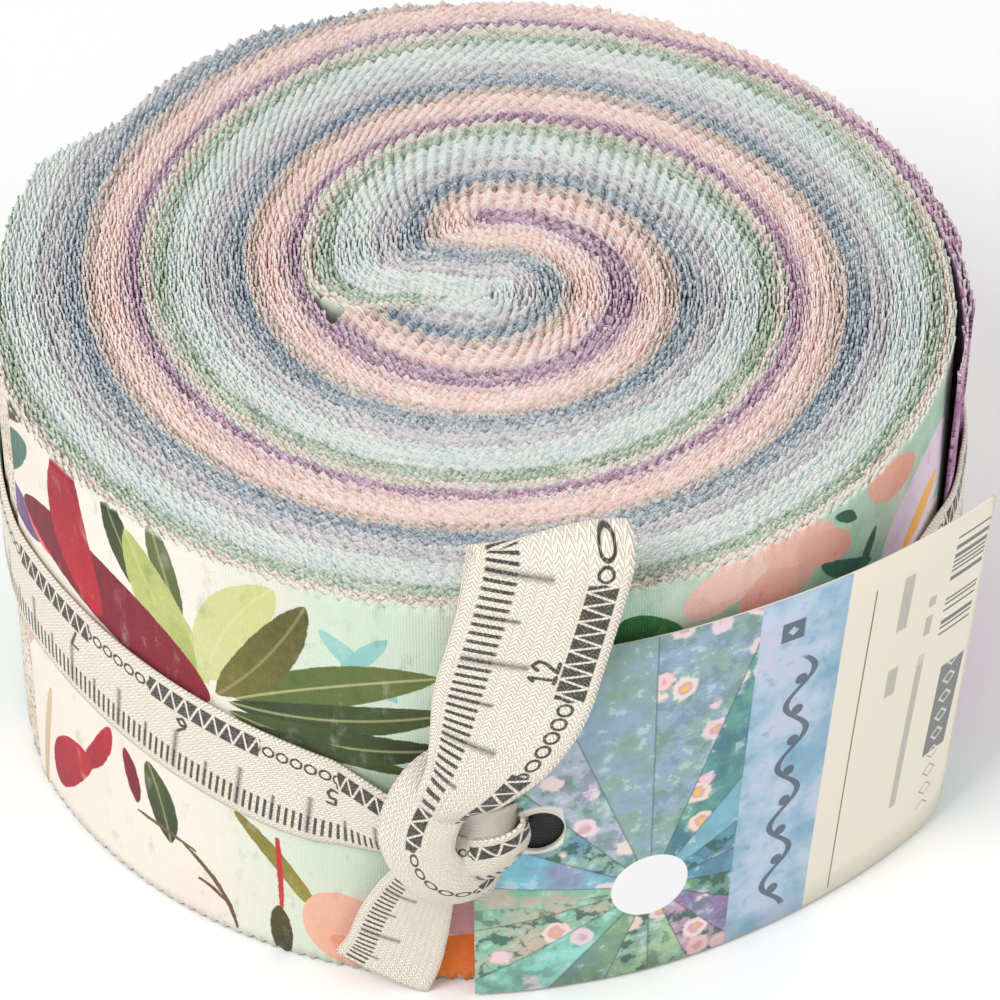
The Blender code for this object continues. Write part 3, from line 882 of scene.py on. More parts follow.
@dataclass
class Roll:
    """The forty folded strips."""

    winding: Winding = field(default_factory=Winding)
    width: float = 63.5 * MM
    tooth: float = 1.8 * MM
    tooth_depth: float = 0.85 * MM
    readings: int = 4
    layer_fill: float = 0.86
    tip_lean: float = 0.20 * MM
    slots: tuple[tuple[int, Slot], ...] = (
        (3, Slot.PLUM), (5, Slot.PINK), (11, Slot.PEACH), (14, Slot.TAN), (19, Slot.SLATE),
        (25, Slot.GREY), (33, Slot.AQUA), (37, Slot.GREEN), (39, Slot.CREAM), (40, Slot.FLORAL))
    outline: list[np.ndarray] = field(default_factory=list)

    def slot_of(self, number: int) -> Slot:
        """Give the print of a strip, counted from 0 at the inner face."""
        return next(slot for last, slot in self.slots if number < last)

    def flare(self, number: int, places: np.ndarray, fold: float) -> np.ndarray:
        """Give how far a strip's loose folded end springs away from the roll.

        It is 0 but on the innermost strips, whose ends lie outside: there it is a lift that
        grows with the square of the way through the last two rungs.
        """
        lift = max(0.0, 1.0 - number / 4.0) * 1.5 * MM
        return lift * np.clip((places - fold + 2.2) / 2.2, 0.0, 1.0) ** 2

    def build(self, number: int) -> bpy.types.Object:
        """Build one strip: two layers joined by the fold at the roll's outer end.

        The sheet runs along the inner layer, round the fold and back along the outer layer.
        Its upper and lower edges are pinked: the height falls from the tips by the tooth
        depth times a triangle wave of the distance along the strip.

        Args:
            number: The strip, counted from 0 at the stack's inner face.

        Returns:
            The object.
        """
        rng = np.random.default_rng(100 + number)
        winding = self.winding
        start, fold = winding.span(number)
        share = 1.0 / winding.strips
        thin = share * (1.0 - self.layer_fill) / 4
        edges = [(number * share + thin, (number + 0.5) * share - thin),
                 ((number + 0.5) * share + thin, (number + 1) * share - thin)]
        step = self.tooth / self.readings
        inner, outer = (winding.layer(start, fold, low, high, step) for low, high in edges)
        low, high = (self.plan(number, inner, outer, fold, amount) for amount in (-0.4, 1.0))
        turns = len(low[0]) - len(inner[2]) - len(outer[2])
        marks = np.concatenate([inner[2], np.full(turns, inner[2][-1]), outer[2][::-1]])
        wall = (0.35 * low[0] + 0.65 * high[0])[:-len(outer[2]) - 1:-1]
        self.outline.append(wall)
        rings, heights = self.raise_rings(low, high, marks, rng)
        along = self.print_along(marks, wall, len(marks)) if number == 39 else marks / MM
        pattern = np.stack([np.repeat(along[:, None], rings.shape[1], axis=1), heights / MM],
                           axis=-1)
        seed = np.full(rings.shape[:2], number * 3.7)
        return tube_object(f"pinked_strip_{number + 1:02d}", rings, pattern, {"seed": seed})

    def plan(self, number: int, inner: Sequence[np.ndarray], outer: Sequence[np.ndarray],
             fold: float, amount: float) -> tuple[np.ndarray, np.ndarray]:
        """Draw a strip in plan: the inner layer, the fold and the outer layer.

        Args:
            number: The strip, counted from 0.
            inner: The inner layer's faces, marks and rungs.
            outer: The outer layer's.
            fold: The fold's rung.
            amount: Share of the loose end's flare.

        Returns:
            The strip's two faces.
        """
        lifted = []
        for near, far, _, places in (inner, outer):
            away = unit(far - near) * amount * self.flare(number, places, fold)[:, None]
            lifted.append((near + away, far + away))
        (a_near, a_far), (b_near, b_far) = lifted
        turn = self.fold_points(a_near[-1], a_far[-1], b_near[-1], b_far[-1],
                                unit(a_far[-1] - a_far[-2]))
        return (np.concatenate([a_near, turn[0], b_far[::-1]]),
                np.concatenate([a_far, turn[1], b_near[::-1]]))

    @staticmethod
    def fold_points(a_near: np.ndarray, a_far: np.ndarray, b_near: np.ndarray,
                    b_far: np.ndarray, ahead: np.ndarray) -> tuple[np.ndarray, np.ndarray]:
        """Round the fold between two layers with half circles.

        Args:
            a_near: Inner face of the inner layer at its end.
            a_far: Outer face of the inner layer.
            b_near: Inner face of the outer layer.
            b_far: Outer face of the outer layer.
            ahead: Direction along the strip at the fold.

        Returns:
            Points of the outer and of the inner half circle.
        """
        swing = np.linspace(0.0, math.pi, 7)[1:-1, None]
        sides = []
        for low, high in ((a_near, b_far), (a_far, b_near)):
            middle, half = (low + high) / 2, (high - low) / 2
            sides.append(middle - half * np.cos(swing)
                         + ahead * np.linalg.norm(half) * np.sin(swing))
        return sides[0], sides[1]

    def raise_rings(self, low: tuple[np.ndarray, np.ndarray], high: tuple[np.ndarray, np.ndarray],
                    marks: np.ndarray, rng: np.random.Generator) -> tuple[np.ndarray, np.ndarray]:
        """Stand the strip's plan up to its width with pinked edges.

        Args:
            low: Plan points of the two faces at the foot.
            high: Plan points of the two faces at the top.
            marks: Distance along the cloth, which sets the teeth.
            rng: The strip's own random numbers.

        Returns:
            Rings of points, and the height of each point.
        """
        face, back = high
        drawn = run_length((face + back) / 2)
        beat = marks / self.tooth
        wave = 1.0 - np.abs(2.0 * (beat % 1.0) - 1.0)
        tooth = np.floor(beat).astype(int)
        tooth -= tooth.min()
        size = rng.uniform(0.55, 1.25, tooth.max() + 1)[tooth]
        lean = rng.normal(0.0, 1.0, tooth.max() + 1)[tooth] * self.tip_lean
        slow = 0.16 * np.sin(drawn / (9.0 * MM) + rng.uniform(0, 6.3))
        slow += 0.14 * np.sin(drawn / (23.0 * MM) + rng.uniform(0, 6.3)) + rng.uniform(-0.2, 0.2)
        top = self.width - 0.25 * MM + slow * MM - self.tooth_depth * size * (1.0 - wave)
        foot = self.tooth_depth * size * wave
        across = unit(face - back)
        tip = (across * (lean * wave)[:, None])
        still = 2.2 * MM + 0 * top
        levels = [foot, still, self.width - still, top]
        columns = []
        for side, order in ((0, (0, 1, 2, 3)), (1, (3, 2, 1, 0))):
            for level in order:
                points = (low if level < 2 else high)[side] + (tip if level == 3 else 0.0)
                columns.append(np.concatenate([points, levels[level][:, None]], axis=1))
        rings = np.stack(columns, axis=1)
        return rings, rings[..., 2].copy()

    @staticmethod
    def print_along(marks: np.ndarray, wall: np.ndarray, count: int) -> np.ndarray:
        """Give the floral strip's pattern coordinate round the roll.

        On the wall's layer it is the angle from the knot's side times the print's length of
        a degree; on the hidden layer it is the distance along the cloth.

        Args:
            marks: Distance along the cloth.
            wall: The outer layer's plan points from raw end to fold.
            count: How many rings the strip has.

        Returns:
            One coordinate for each ring, in millimetres.
        """
        angle = np.degrees(np.unwrap(np.arctan2(wall[:, 1], wall[:, 0])))
        angle += 360.0 * round((-160.0 - angle[-1]) / 360.0)
        along = marks / MM
        along[count - len(wall):] = ((angle + 90.0) * FloralPrint.degree)[::-1]
        return along

    def dress(self) -> None:
        """Build every strip, give it its cotton, attach it to the roll and hide the model's strip."""
        finishes = {slot: finish.material() for slot, finish in PRINTS.items()}
        finishes[Slot.FLORAL] = FloralPrint().material()
        for number in range(self.winding.strips):
            piece = self.build(number)
            slot = self.slot_of(number)
            piece.data.materials.append(finishes[slot])
            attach(piece, Body.ROLL.value)
            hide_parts(f"strip_{number + 1:02d}")
            report(piece)

    def hull(self) -> np.ndarray:
        """Give the corners of the roll's convex outline in plan, anticlockwise."""
        points = np.concatenate(self.outline)
        return points[convex_hull_2d([tuple(point) for point in points])]


def report(piece: bpy.types.Object) -> None:
    """Log a finished piece and its number of faces."""
    LOG.info("%s: %d faces", piece.name, len(piece.data.polygons))


# The tape


@dataclass(frozen=True)
class TwillPrint:
    """Cream herringbone twill tape, printed with a ruler and a border of triangles."""

    width: float = 15.5
    rib: float = 1.12
    stitch: float = 0.62
    tick: float = 0.95
    spacing: float = 1.9
    ink: Colour = rgb("1C1A18")
    cloth: Colour = rgb("FFF5E3")
    shadow: Colour = rgb("CDB48A")

    @staticmethod
    def digit(along: Value, up: Value, strokes: Sequence[Sequence[float]],
              where: tuple[float, float], size: float = 2.6, pen: float = 0.46) -> Value:
        """Draw a numeral from straight strokes.

        Each stroke is the set of points nearer to its line than half the pen's width. The
        numerals stand with their feet towards the border.

        Args:
            along: Distance along the tape.
            up: Distance across it.
            strokes: Start and end of each stroke, in heights of the numeral.
            where: The numeral's lower left corner.
            size: Its height in millimetres.
            pen: The pen's width in millimetres.

        Returns:
            A mask of the ink.
        """
        ink = None
        for x0, y0, x1, y1 in strokes:
            points = np.array([(x0, -y0), (x1, -y1)]) * size + where
            reach = points[1] - points[0]
            length = float(np.hypot(*reach))
            c, s = reach / length
            x, y = points[0]
            t = Leaf.slanted(along, up, c, s, -(x * c + y * s) - length / 2)
            n = Leaf.slanted(along, up, -s, c, x * s - y * c)
            past = (t.abs() - length / 2).high(0.0)
            mask = (past + n.abs()).ramp(pen / 2 + 0.07, pen / 2 - 0.07)
            ink = mask if ink is None else ink.high(mask)
        return ink

    def material(self, name: str, numerals: Sequence[tuple[str, tuple[float, float]]],
                 ruled: bool = True, bordered: bool = True,
                 dark: tuple[float, float] = (1e4, 2e4)) -> bpy.types.Material:
        """Make the printed twill.

        Args:
            name: The material's name.
            numerals: Numerals with their corners.
            ruled: Whether the ruler's ticks show.
            bordered: Whether the border shows.
            dark: Where along the tape it lies in the dark behind the card's hole.

        Returns:
            The material.
        """
        shader = Shader(name, roughness=0.95, sheen=0.2)
        vector, along, up = shader.uv()
        front = shader.attribute("front").ramp(0.4, 0.6)
        wobble = shader.noise(vector, 1.4, 2.0)
        column = up / self.rib
        fold = ((column.fract() - 0.5).abs() * 2.0)
        rows = ((along + fold * 0.8 + wobble * 0.5) / self.stitch).fract()
        stitch = ((rows - 0.5).abs() * 2.0).ramp(0.95, 0.35)
        valley = fold.ramp(0.78, 1.0)
        weave = stitch * (1.0 - valley * 0.65)
        blotch = shader.noise(vector, 0.5, 3.0, 0.6)
        cloth = shader.mix(blotch.ramp(0.35, 0.7) * 0.55, self.cloth, rgb("FFFAF0"))
        slub = shader.noise(shader.stretched(vector, 0.5, 1.6), 1.1, 3.0, 0.7).ramp(0.55, 0.75)
        cloth = shader.mix((1.0 - weave) * 0.20 + slub * 0.14, cloth, self.shadow)
        broken = (weave * 0.7 + wobble * 0.6).ramp(0.25, 0.5)
        ink = self.border(shader, along, up) * float(bordered)
        if ruled:
            ink = ink.high(self.ticks(along, up + (wobble - 0.5) * 0.35))
        for text, (x, y) in numerals:
            for place, figure in enumerate(text):
                ink = ink.high(self.digit(along, up, FIGURES[figure], (x + place * self.spacing, y)))
        colour = shader.mix(ink * front * broken.ramp(0.0, 0.6, 0.62, 0.96), cloth, self.ink)
        # Painted shadow: the stretch behind the card's hole is painted near black, on both faces of the
        # tape.
        shade = along.between(*dark, 0.5)
        colour = shader.mix(shade, colour, rgb("0B0A09"))
        return shader.finish(colour, weave + blotch * 0.45, 0.22 * MM)

    def ticks(self, along: Value, up: Value) -> Value:
        """Mark the ruler: short ticks, with a longer one at every fifth and tenth.

        Args:
            along: Distance along the tape.
            up: Distance across it.

        Returns:
            A mask of the ink.
        """
        start = up.ramp(1.25, 1.6)
        short = along.line(self.tick, 0.42) * up.ramp(4.9, 4.5)
        fifth = (along + self.tick * 2).line(self.tick * 5, 0.075) * up.ramp(6.2, 5.8)
        tenth = (along + self.tick * 4.5).line(self.tick * 10, 0.045) * up.ramp(8.4, 8.0)
        return short.high(fifth).high(tenth) * start

    def border(self, shader: Shader, along: Value, up: Value) -> Value:
        """Mark the border: a dark band cut into triangles, then a run of small rings.

        Args:
            shader: The material's shader.
            along: Distance along the tape.
            up: Distance across it.

        Returns:
            A mask of the ink.
        """
        inside = up.between(11.35, 14.55, 0.15)
        across = (up - 11.4) / 3.1
        slash = ((along / 2.1 + across * 0.5).fract() - 0.5).abs().ramp(0.05, 0.10)
        other = ((along / 2.1 - across * 0.5).fract() - 0.5).abs().ramp(0.05, 0.10)
        block = slash * other * inside
        away = shader.node("ShaderNodeMath", {"operation": "POWER"},
                           [((along / 1.9).fract() - 0.5).abs() * 1.9, 2.0])
        ring = ((away + (up - 12.95) ** 2.0) ** 0.5 - 0.72).abs().ramp(0.24, 0.10)
        part = (along / 27.0).fract()
        return shader.node("ShaderNodeMix", {"data_type": "FLOAT"},
                           {0: part.between(0.60, 1.0, 0.01), 2: block, 3: ring})


FIGURES = {
    "1": ((0.15, 0.0, 0.55, 0.0), (0.35, 0.0, 0.35, 1.0), (0.35, 1.0, 0.15, 0.8)),
    "2": ((0.05, 0.75, 0.3, 1.0), (0.3, 1.0, 0.58, 0.8), (0.58, 0.8, 0.5, 0.5),
          (0.5, 0.5, 0.05, 0.0), (0.05, 0.0, 0.62, 0.0)),
    "5": ((0.58, 1.0, 0.12, 1.0), (0.12, 1.0, 0.1, 0.58), (0.1, 0.58, 0.42, 0.62),
          (0.42, 0.62, 0.6, 0.32), (0.6, 0.32, 0.4, 0.02), (0.4, 0.02, 0.06, 0.06)),
    "6": ((0.5, 1.0, 0.15, 0.6), (0.15, 0.6, 0.06, 0.28), (0.06, 0.28, 0.3, 0.0),
          (0.3, 0.0, 0.58, 0.25), (0.58, 0.25, 0.35, 0.52), (0.35, 0.52, 0.1, 0.4)),
    "7": ((0.05, 1.0, 0.6, 1.0), (0.6, 1.0, 0.25, 0.0)),
}


@dataclass(frozen=True)
class Stop:
    """One place on a tape's middle line and how the tape lies there.

    The angle is about the roll, out and height are in millimetres, out counting from the
    tape's base radius. Tilt turns the direction across the tape from straight up towards the
    right, lean tips it outwards, both in degrees, and cup is how far the middle bulges.
    """

    angle: float
    out: float
    height: float
    width: float
    tilt: float = 0.0
    lean: float = 0.0
    cup: float = 0.0


@dataclass
class TapeRun:
    """One stretch of tape through a list of stops."""

    name: str
    stops: Sequence[Stop]
    start: float = 0.0
    shift: float = 0.0
    base: float = 61.0
    thickness: float = 0.75
    across: int = 15
    step: float = 0.6

    def build(self) -> bpy.types.Object:
        """Carry the tape's section along a smooth curve through its stops.

        A point at a share s of the width, from -1 to 1, lies at the middle line plus s times
        half the width across, plus cup (1 - s^2) along the normal.

        Returns:
            The object.
        """
        table = np.array([(stop.angle, stop.out, stop.height, stop.width, stop.tilt, stop.lean,
                           stop.cup) for stop in self.stops])
        fine = np.linspace(0.0, len(table) - 1, len(table) * 40)
        middle = self.place(catmull(table, fine))
        length = run_length(middle)
        count = max(int(length[-1] / self.step), 4)
        marks = np.linspace(0.0, length[-1], count)
        rows = catmull(table, np.interp(marks, length, fine))
        middle = self.place(rows)
        ahead = unit(np.gradient(middle, axis=0))
        turn = np.radians(rows[:, 0])
        right = np.stack([-np.sin(turn), np.cos(turn), 0 * turn], axis=1)
        out = np.stack([np.cos(turn), np.sin(turn), 0 * turn], axis=1)
        tilt, lean = np.radians(rows[:, 4:5]), np.radians(rows[:, 5:6])
        side = (np.cos(tilt) * np.array([[0.0, 0.0, 1.0]]) + np.sin(tilt) * right) * np.cos(lean)
        side = side + np.sin(lean) * out
        side = unit(side - ahead * np.sum(side * ahead, axis=1, keepdims=True))
        normal = np.cross(side, ahead)
        share = np.linspace(-1.0, 1.0, self.across)[None, :, None]
        sheet = (middle[:, None] + side[:, None] * share * rows[:, None, 3:4] / 2
                 + normal[:, None] * rows[:, None, 6:7] * (1.0 - share ** 2))
        edge = 1.0 - 0.45 * np.abs(share) ** 8
        half = normal[:, None] * (self.thickness / 2) * edge
        rings = np.concatenate([sheet + half, (sheet - half)[:, ::-1]], axis=1)
        up = (share[0, :, 0] + 1.0) / 2 * TwillPrint.width + self.shift
        up = np.concatenate([up, up[::-1]])
        pattern = np.stack([np.repeat(marks[:, None] + self.start, len(up), axis=1),
                            np.repeat(up[None], count, axis=0)], axis=-1)
        front = np.repeat((np.arange(len(up)) < self.across)[None], count, axis=0)
        return tube_object(self.name, rings * MM, pattern, {"front": front.astype(float)})

    def place(self, rows: np.ndarray) -> np.ndarray:
        """Give the points of rows of angle, distance out and height, in millimetres."""
        plan = polar(rows[:, 0], self.base + rows[:, 1])
        return np.concatenate([plan, rows[:, 2:3]], axis=1)


@dataclass
class Tie:
    """The tape round the roll, with its knot, bow loop and cut end.

    Heights, clearances and reaches along the tape are in millimetres, and the other reaches
    are in degrees from the knot.
    """

    hull: np.ndarray
    clearance: float = 0.255
    height: float = 36.0
    knot_height: float = 28.5
    knot_angle: float = -96.5
    dip_reach: float = 38.0
    squeeze: float = 4.2
    squeeze_reach: float = 7.5
    bulge: float = 1.1
    bulge_reach: float = 6.0
    hole_from: float = 2.6
    hole_length: float = 6.9
    stops_from_hole: int = 7
    base: float = 61.0

    def wall(self, angles: np.ndarray) -> np.ndarray:
        """Give the radius of the roll's outline at angles, in millimetres.

        For each edge with outward normal n through point p, a ray r meets it at
        (n . p) / (n . r); the outline is the nearest of these.

        Args:
            angles: Angles in degrees.

        Returns:
            One radius for each angle.
        """
        corners = self.hull / MM
        edge = unit(np.roll(corners, -1, axis=0) - corners)
        normal = np.stack([edge[:, 1], -edge[:, 0]], axis=1)
        reach = np.sum(normal * corners, axis=1)
        facing = polar(angles, np.ones_like(angles)) @ normal.T
        return np.where(facing > 0.05, reach / np.maximum(facing, 0.05), 1e3).min(axis=1)

    def band(self) -> TapeRun:
        """Lay the tape round the roll, behind the card and forward through its hole.

        Returns:
            The run.
        """
        angles = np.arange(self.knot_angle - 10.0, -416.0, -4.0)
        away = angles - self.knot_angle
        back = (away + 180.0) % 360.0 - 180.0
        dip = np.exp(-(back / self.dip_reach) ** 2)
        height = self.height - (self.height - self.knot_height) * dip
        out = self.wall(angles) - self.base + self.clearance + TapeRun.thickness / 2
        width = TwillPrint.width - self.squeeze * np.exp(-((away + 4.0) / self.squeeze_reach) ** 2)
        cup = self.bulge * np.exp(-((away + 4.0) / self.bulge_reach) ** 2)
        ring = [Stop(*row) for row in zip(angles, out, height, width, 0 * out, 0 * out, cup)]
        first = [Stop(-98.6, 3.2, 28.6, 7.5, 0, 0, 1.4), Stop(-101.2, 1.6, 28.9, 9.8, 0, 0, 1.3)]
        last = [Stop(-425.0, 0.55, 33.0, 13.0, 0, 0, 0.2), Stop(-434.0, 0.5, 29.5, 9.5, 0, 0, 0.2),
                Stop(-438.0, 0.4, 27.6, 8.2, 0, 0, 0.0), Stop(-445.4, 0.4, 27.6, 7.6, 0, 0, 0.0),
                Stop(-446.4, 1.5, 29.2, 3.6, 0, 0, 0.3), Stop(-446.2, 2.8, 29.6, 3.8, 0, 8, 0.7),
                Stop(-447.2, 4.0, 29.0, 4.8, 0, 10, 1.3), Stop(-449.2, 4.6, 27.8, 6.0, 0, 6, 1.7),
                Stop(-451.6, 4.2, 26.4, 6.8, 0, 0, 1.9), Stop(-454.6, 3.4, 26.6, 6.6, 0, 0, 1.8)]
        return TapeRun("tape_band", first + ring + last, start=6.0)

    def wrap(self) -> TapeRun:
        """Wrap the tape over the front of the knot, from upper left round to lower right.

        Returns:
            The run.
        """
        return TapeRun("tape_knot_wrap", [
            Stop(-92.6, 2.2, 39.0, 9.0, -80, 0, 0.6), Stop(-95.6, 4.0, 37.0, 9.5, -80, 0, 1.0),
            Stop(-97.2, 5.2, 32.6, 9.6, -96, 0, 1.6), Stop(-97.0, 5.9, 28.6, 9.0, -122, 0, 1.9),
            Stop(-95.2, 6.1, 25.4, 8.4, -148, 0, 1.9), Stop(-92.8, 5.3, 23.7, 7.4, -168, 0, 1.7),
            Stop(-90.6, 3.6, 23.4, 6.0, -182, 0, 1.2), Stop(-89.4, 2.1, 24.2, 4.6, -190, 0, 0.6),
        ], start=32.0, shift=5.0, across=17)

    def upper_fold(self) -> TapeRun:
        """Lay the upper of the two folds that leave the knot to the right.

        Returns:
            The run.
        """
        return TapeRun("tape_knot_fold", [
            Stop(-95.0, 3.2, 30.8, 6.4, 0, 0, 1.5), Stop(-92.4, 4.7, 31.2, 6.6, 0, -10, 1.6),
            Stop(-90.0, 5.0, 31.8, 6.0, 0, -16, 1.4), Stop(-88.0, 3.9, 32.2, 4.6, 0, -10, 1.0),
            Stop(-86.8, 2.2, 32.0, 3.2, 0, 0, 0.5),
        ], start=98.0, shift=4.0, across=11)

    def lower_fold(self) -> TapeRun:
        """Tuck the short fold that shows under the knot, at its lower right.

        Returns:
            The run.
        """
        return TapeRun("tape_knot_tuck", [
            Stop(-95.6, 2.6, 23.4, 5.0, 0, 0, 1.0), Stop(-93.0, 4.2, 22.6, 5.4, 8, -6, 1.3),
            Stop(-90.4, 4.2, 22.9, 5.0, 16, -6, 1.2), Stop(-88.4, 2.7, 24.0, 4.0, 24, 0, 0.8),
            Stop(-87.6, 1.7, 24.8, 3.0, 24, 0, 0.4),
        ], start=110.0, shift=4.6, across=11)

    def loop(self) -> TapeRun:
        """Raise the bow's loop: up in front, over its fold above the rim and down behind.

        Returns:
            The run.
        """
        return TapeRun("tape_loop", [
            Stop(-95.0, 4.2, 34.0, 6.5, 90, 0, 1.4), Stop(-93.8, 4.8, 37.2, 8.6, 84, 0, 1.8),
            Stop(-91.6, 4.6, 40.8, 12.2, 78, 0, 1.7), Stop(-89.3, 4.1, 45.6, 16.2, 80, 0, 1.0),
            Stop(-87.4, 3.5, 51.5, 18.8, 84, 0, 0.5), Stop(-85.7, 3.0, 58.5, 19.0, 86, 0, 0.4),
            Stop(-84.0, 2.3, 65.5, 19.0, 84, 0, 0.5), Stop(-82.9, 1.3, 70.2, 19.0, 80, 0, 1.0),
            Stop(-82.5, -0.3, 72.2, 19.0, 78, 0, 1.7), Stop(-82.8, -1.7, 70.6, 18.8, 80, 0, 0.9),
            Stop(-83.8, -0.6, 66.0, 18.4, 84, 0, 0.2), Stop(-85.2, 1.2, 60.0, 18.0, 86, 0, 0.0),
            Stop(-86.6, 2.1, 54.0, 17.0, 84, 0, 0.0), Stop(-89.0, 2.2, 46.0, 13.0, 80, 0, 0.2),
            Stop(-92.0, 2.2, 40.0, 9.0, 78, 0, 0.4), Stop(-94.6, 2.4, 35.0, 6.5, 90, 0, 0.4),
        ], start=140.0, across=19)

    def tail(self) -> TapeRun:
        """Hang the tape's cut end from the knot.

        Returns:
            The run.
        """
        return TapeRun("tape_tail", [
            Stop(-102.4, 1.1, 2.4, 12.6, 96, 0, 0.35), Stop(-101.0, 1.2, 6.0, 12.2, 96, 0, 0.5),
            Stop(-99.6, 1.5, 12.0, 11.4, 95, 0, 0.7), Stop(-98.2, 2.2, 17.5, 9.8, 94, 0, 1.1),
            Stop(-97.0, 3.0, 22.0, 8.0, 92, 0, 1.5), Stop(-96.6, 3.4, 25.0, 7.0, 90, 0, 1.6),
        ], start=12.0, across=17)

    def dress(self) -> None:
        """Build the tape's pieces, give them their twill, attach them to the tie and hide the model's
        ribbon parts.
        """
        finish = TwillPrint()
        around_roll = self.band()
        before_hole = np.array([(stop.angle, stop.out, stop.height)
                                for stop in around_roll.stops[:-self.stops_from_hole]])
        begin = around_roll.start + self.hole_from
        begin += float(run_length(around_roll.place(before_hole))[-1])
        # The stretch from begin over the hole's length gets painted shadow, as it lies behind the
        # card's hole.
        band = finish.material("twill_band", [("5", (15.9, 10.9)), ("6", (37.0, 10.9)),
                                              ("7", (55.9, 10.9))],
                               dark=(begin, begin + self.hole_length))
        loop = TwillPrint(tick=1.27).material("twill_loop", [("12", (163.6, 11.0))])
        knot = finish.material("twill_knot", [], ruled=False)
        tail = finish.material("twill_tail", [], bordered=False)
        for run, node, look in ((around_roll, "ribbon_band", band), (self.wrap(), "ribbon_knot", knot),
                                (self.upper_fold(), "ribbon_knot", knot),
                                (self.lower_fold(), "ribbon_knot", knot),
                                (self.loop(), "ribbon_loop", loop), (self.tail(), "ribbon_tail", tail)):
            piece = run.build()
            piece.data.materials.append(look)
            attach(piece, Body.TIE.value)
            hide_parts(node)
            report(piece)


# The card


